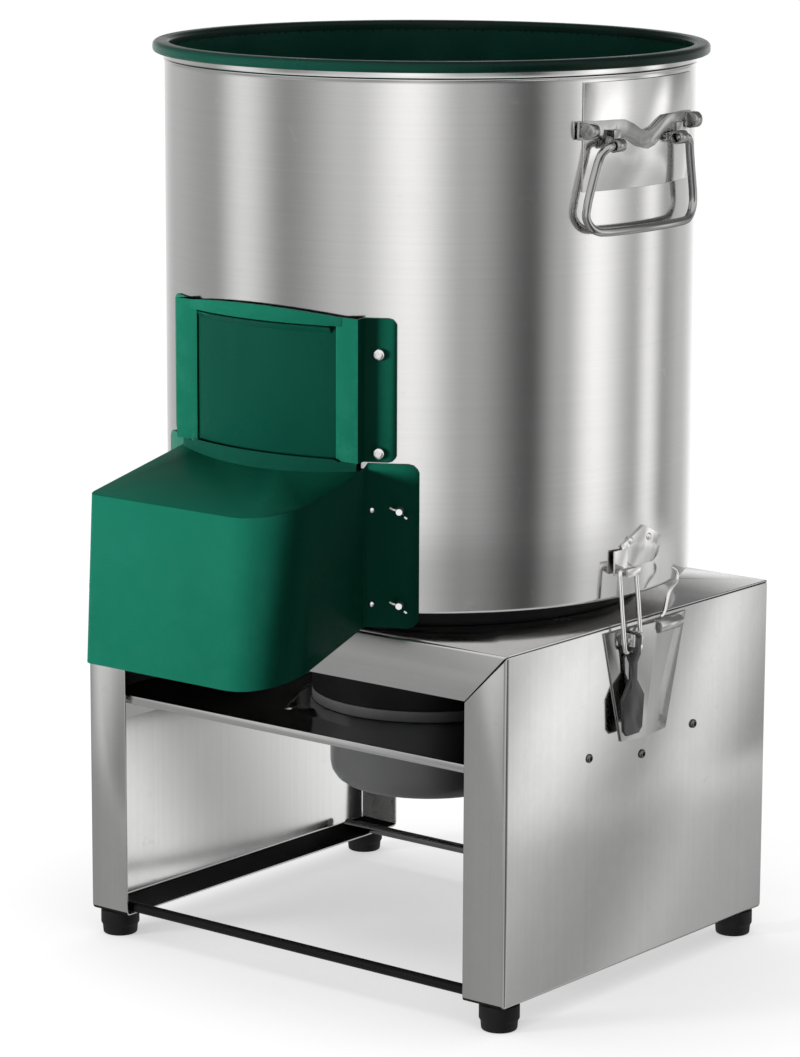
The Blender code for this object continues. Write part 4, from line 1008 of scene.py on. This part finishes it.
def makeScrews():
    names = [f"panel_screw_{hand}_{number}" for hand in ("left", "right") for number in (1, 2, 3)]
    places = []
    for node in names:
        low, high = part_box(node)
        side = 1 if high.x > 0 else -1
        seat = low.x if side > 0 else high.x
        places.append((Vector((seat, (low.y + high.y) / 2, (low.z + high.z) / 2)), Vector((side, 0, 0))))
    radius, height = screws["panelRadius"], screws["panelHeight"]
    fasten("panelScrews", "socket", places, radius, height, "darkSteel", replaced=names)
    seatRadius = drumRadius + 0.0003 + screws["seat"]
    for kind, head, size in (("gate", "socket", "gate"), ("hood", "wing", "wing")):
        names = [f"{kind}_bolt_{hand}_{end}" for hand in ("left", "right") for end in ("lower", "upper")]
        places = []
        for node in names:
            middle, facing = outwardPlace(node)
            flat = Vector((centre.x, centre.y, middle.z))
            places.append((flat + facing * seatRadius, facing))
        radius, height = screws[f"{size}Radius"], screws[f"{size}Height"]
        fasten(f"{kind}Bolts", head, places, radius, height, "polishedSteel", replaced=names)
    hoodHeights = [outwardPlace(f"hood_bolt_left_{end}")[0].z for end in ("lower", "upper")]
    dots = [onDrum(side * screws["dotAngle"], seatRadius, z) for side in (-1, 1) for z in hoodHeights]
    fasten("hoodRivets", "rivet", dots, screws["dotRadius"], screws["dotHeight"], "polishedSteel")


def makeKeeperRivets():
    places = []
    for hand, side in (("left", -1), ("right", 1)):
        low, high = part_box(f"latch_keeper_{hand}")
        middle = (low + high) / 2
        for step in (-1, 1):
            across = middle.y + step * keeperRivets["apart"] / 2
            offset = math.asin((across - centre.y) / drumRadius)
            facing = Vector((side * math.cos(offset), math.sin(offset), 0))
            flat = Vector((centre.x, centre.y, high.z - keeperRivets["below"]))
            place = flat + facing * (drumRadius + keeperRivets["seat"])
            places.append((place, facing))
    fasten("keeperRivets", "rivet", places, keeperRivets["radius"], keeperRivets["height"], "polishedSteel")


def makeMotorDetail():
    low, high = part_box("motor_body")
    reach = motorDetail["boltRing"]
    seat = high.z - motorDetail["boltSeat"]
    ring = []
    for step in range(motorDetail["bolts"]):
        turn = math.radians(360 * (step + 0.5) / motorDetail["bolts"])
        spot = Vector((centre.x + reach * math.cos(turn), centre.y + reach * math.sin(turn), seat))
        ring.append((spot, Vector((0, 0, -1))))
    radius, height = motorDetail["boltRadius"], motorDetail["boltHeight"]
    fasten("motorFlangeBolts", "hexagon", ring, radius, height, "darkSteel")
    base = pointsObject([])
    values = {
        "Count": motorDetail["ribs"],
        "Ring Radius": motorDetail["ribRing"],
        "Centre": Vector((centre.x, centre.y, low.z + 0.0002)),
        "Rib Size": Vector(motorDetail["ribSize"]),
    }
    grown("motorVentRibs", base, "ringOfRibs", values, "machine", "motorPaint")


def makeWelds():
    bm = bmesh.new()
    back = centre.y + drumRadius + 0.0002
    heights = (drumLow.z + weld["fromBottom"], drumHigh.z - weld["fromTop"])
    ends = [bm.verts.new((centre.x, back, height)) for height in heights]
    bm.edges.new(ends)
    base = meshPiece("seam", bm)
    values = {"Spacing": weld["spacing"], "Radius": weld["radius"]}
    grown("drumWeld", base, "weldBead", values, "machine", "drumSteel")


makeFastenerTree()
makeRibTree()
makeWeldTree()
makeScrews()
makeKeeperRivets()
makeMotorDetail()
makeWelds()
print("screws, rivets, ribs and welds placed")


# Cable gland under the switch box

gland = {
    "flange": 0.0088, "flangeHeight": 0.0105, "nut": 0.0076, "nutLow": 0.003, "nutHigh": 0.0095,
    "mouth": 0.0042, "ribs": 18, "ribHeight": 0.0062, "ribSize": (0.0009, 0.0012, 0.0058),
}


def makeGland():
    low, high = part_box("cable_gland")
    middle = (low + high) / 2
    top, bottom = high.z, low.z
    outline = filleted(
        [
            (gland["mouth"], top, 0),
            (gland["mouth"], bottom + 0.0008, 0.0006),
            (gland["nut"] - 0.002, bottom, 0.001),
            (gland["nut"], bottom + gland["nutLow"], 0.0012),
            (gland["nut"], bottom + gland["nutHigh"], 0.0006),
            (gland["flange"], bottom + gland["flangeHeight"], 0.0006),
            (gland["flange"], top, 0),
        ],
        3,
    )
    settle(lathe("cableGland", outline, middle, 48), "machine", "blackPaintAndPaintedShade", ["cable_gland"])
    base = pointsObject([])
    values = {
        "Count": gland["ribs"],
        "Ring Radius": gland["nut"],
        "Centre": Vector((middle.x, middle.y, bottom + gland["ribHeight"])),
        "Rib Size": Vector(gland["ribSize"]),
    }
    grown("glandRibs", base, "ringOfRibs", values, "machine", "blackPaintAndPaintedShade")


makeGland()
print("gland made")


# Light, floor and camera

studio = {
    "fill": 0.045,           # what dull surfaces see all round
    "keyPower": 154.0,
    "keySize": 1.1,
    "keyPlace": (-1.9, -3.1, 0.20),
    "floorGlow": 0.97,
    "paintedShadowReach": 0.30,    # how far round each foot the painted shadow darkens the floor's glow
    # how dark the painted shadow in the floor's glow gets
    "paintedShadowDark": 0.45,
    "ceilingBehind": 0.2,
    "ceilingInFront": 1.0,
    "lowBand": (-0.228, -0.252),     # how far down a look has to point to see the lower band
    "horizon": [             # degrees round from the camera's side, and how bright the studio is there
        (-180, 0.9), (-144, 0.56), (-107, 0.42), (-88, 0.92), (-64, 0.34), (-34, 0.70), (-9, 1.25),
        (15, 0.52), (43, 0.12), (58, 0.55), (75, 1.38), (98, 0.55), (109, 1.20), (122, 0.46),
        (139, 0.66), (170, 1.25),
    ],
    "nearFloor": [           # the same, for what the low panels see
        (-180, 0.66), (-110, 0.78), (-85, 0.84), (-60, 0.86), (-45, 0.80), (-34, 0.76), (-9, 1.30),
        (15, 0.60), (43, 0.17), (58, 0.66), (75, 1.45), (92, 1.02), (100, 0.86), (106, 0.98),
        (112, 1.44), (125, 1.10), (150, 0.66),
    ],
}
view = {
    "place": (1.8301, -2.2877, 0.9223),
    "turn": 38.58,
    "down": 11.44,
    "tilt": 0.22,
    "lens": 133.86,
}


# Studio brightness round the horizon, from (degrees, level) pairs
def makeBands(tree, share, levels):
    ramp = addNode(tree, "ShaderNodeValToRGB", {"Fac": share})
    ramp.color_ramp.interpolation = "EASE"
    stops = ramp.color_ramp.elements
    stops.remove(stops[-1])
    brightest = max(level for angle, level in levels)
    for index, (angle, level) in enumerate(levels + [(180, levels[0][1])]):
        stop = stops[0] if index == 0 else stops.new((angle + 180) / 360)
        stop.position = (angle + 180) / 360
        stop.color = [level / brightest] * 3 + [1]
    return math2(tree, "MULTIPLY", ramp.outputs[0], brightest)


def mixLevels(tree, factor, first, second):
    node = addNode(tree, "ShaderNodeMix", {0: factor, 2: first, 3: second}, data_type="FLOAT")
    return node.outputs[0]


# What shiny surfaces see depends on the direction round the studio, and dull ones see an even fill
def makeWorld():
    world = bpy.data.worlds.new("studio")
    bpy.context.scene.world = world
    world.use_nodes = True
    world.cycles.sampling_method = "NONE"
    tree = world.node_tree
    tree.nodes.clear()
    direction = addNode(tree, "ShaderNodeTexCoord").outputs["Generated"]
    parts = addNode(tree, "ShaderNodeSeparateXYZ", {0: direction})
    turn = addNode(tree, "ShaderNodeMath", {0: parts.outputs[1], 1: parts.outputs[0]}, operation="ARCTAN2")
    start = math.radians(view["turn"] - 90 - 180)
    shifted = math2(tree, "SUBTRACT", turn.outputs[0], start)
    share = math2(tree, "FRACT", math2(tree, "DIVIDE", shifted, 2 * math.pi))
    high = makeBands(tree, share, studio["horizon"])
    low = makeBands(tree, share, studio["nearFloor"])
    first, full = studio["lowBand"]
    lowShare = addNode(
        tree, "ShaderNodeMapRange", {"Value": parts.outputs[2], "From Min": first, "From Max": full}
    )
    lowDim = addNode(
        tree,
        "ShaderNodeMapRange",
        {"Value": parts.outputs[2], "From Min": -0.30, "From Max": -0.20, "To Min": 0.50, "To Max": 0.95},
    )
    highDim = addNode(
        tree,
        "ShaderNodeMapRange",
        {"Value": parts.outputs[2], "From Min": -0.22, "From Max": -0.05, "To Min": 0.86, "To Max": 1.05},
    )
    lowLevel = math2(tree, "MULTIPLY", low, lowDim.outputs[0])
    highLevel = math2(tree, "MULTIPLY", high, highDim.outputs[0])
    dimmed = mixLevels(tree, lowShare.outputs[0], highLevel, lowLevel)
    upper = addNode(
        tree, "ShaderNodeMapRange", {"Value": parts.outputs[2], "From Min": 0.02, "From Max": 0.25}
    )
    front = math.radians(view["turn"] - 90)
    facing = addNode(
        tree,
        "ShaderNodeVectorMath",
        {0: direction, 1: (math.cos(front), math.sin(front), 0)},
        operation="DOT_PRODUCT",
    )
    ceiling = addNode(
        tree,
        "ShaderNodeMapRange",
        {
            "Value": facing.outputs["Value"],
            "From Min": -0.35,
            "From Max": 0.25,
            "To Min": studio["ceilingBehind"],
            "To Max": studio["ceilingInFront"],
        },
    )
    glossLevel = mixLevels(tree, upper.outputs[0], dimmed, ceiling.outputs[0])
    path = addNode(tree, "ShaderNodeLightPath")
    direct = math2(tree, "LESS_THAN", path.outputs["Diffuse Depth"], 0.5)
    mirrored = math2(tree, "MULTIPLY", path.outputs["Is Glossy Ray"], direct)
    fill = mixLevels(tree, mirrored, studio["fill"], glossLevel)
    level = mixLevels(tree, path.outputs["Is Camera Ray"], fill, 1.0)
    background = addNode(tree, "ShaderNodeBackground", {"Color": (1, 1, 1, 1), "Strength": level})
    output = addNode(tree, "ShaderNodeOutputWorld")
    tree.links.new(background.outputs[0], output.inputs["Surface"])


def makeFloor():
    bm = bmesh.new()
    bmesh.ops.create_circle(bm, cap_ends=True, segments=96, radius=30.0)
    floor = meshPiece("studioFloor", bm)
    material = bpy.data.materials.new("floorPaper")
    material.use_nodes = True
    tree = material.node_tree
    tree.nodes.clear()
    path = addNode(tree, "ShaderNodeLightPath")
    paper = addNode(tree, "ShaderNodeBsdfDiffuse", {"Color": (0.86, 0.86, 0.86, 1)})
    # Ambient occlusion darkens the floor's glow for the camera near the machine: a painted contact shadow
    nearness = addNode(
        tree, "ShaderNodeAmbientOcclusion", {"Distance": studio["paintedShadowReach"]}, samples=8
    )
    paintedShadow = blendValues(tree, nearness.outputs["AO"], studio["paintedShadowDark"], 1.0)
    seen = math2(tree, "MULTIPLY", paintedShadow, studio["floorGlow"])
    glowLevel = math2(tree, "MULTIPLY", path.outputs["Is Camera Ray"], seen)
    glow = addNode(tree, "ShaderNodeEmission", {"Strength": glowLevel})
    lit = addNode(tree, "ShaderNodeAddShader", {0: paper.outputs[0], 1: glow.outputs[0]})
    clear = addNode(tree, "ShaderNodeBsdfTransparent")
    shiny = path.outputs["Is Glossy Ray"]
    mixed = addNode(tree, "ShaderNodeMixShader", {0: shiny, 1: lit.outputs[0], 2: clear.outputs[0]})
    output = addNode(tree, "ShaderNodeOutputMaterial")
    tree.links.new(mixed.outputs[0], output.inputs["Surface"])
    floor.data.materials.append(material)


def makeLamp(name, place, size, power):
    lamp = bpy.data.lights.new(name, "AREA")
    lamp.shape = "DISK"
    lamp.size = size
    lamp.energy = power
    holder = bpy.data.objects.new(name, lamp)
    bpy.context.scene.collection.objects.link(holder)
    holder.location = place
    aim = Vector((0, 0, 0.4)) - holder.location
    holder.rotation_euler = aim.to_track_quat("-Z", "Y").to_euler()
    holder.visible_glossy = False
    holder.visible_camera = False


def makeCamera():
    data = bpy.data.cameras.new("view")
    data.lens = view["lens"]
    data.sensor_fit = "AUTO"
    data.sensor_width = 36.0
    data.clip_end = 100.0
    camera = bpy.data.objects.new("view", data)
    bpy.context.scene.collection.objects.link(camera)
    turn = Matrix.Rotation(math.radians(view["turn"]), 4, "Z")
    down = Matrix.Rotation(math.radians(90 - view["down"]), 4, "X")
    tilt = Matrix.Rotation(math.radians(view["tilt"]), 4, "Z")
    camera.matrix_world = Matrix.Translation(view["place"]) @ turn @ down @ tilt
    bpy.context.scene.camera = camera


makeWorld()
makeFloor()
makeLamp("key", studio["keyPlace"], studio["keySize"], studio["keyPower"])
makeCamera()
bpy.context.scene.view_settings.view_transform = "Standard"
print("light, floor and camera placed")
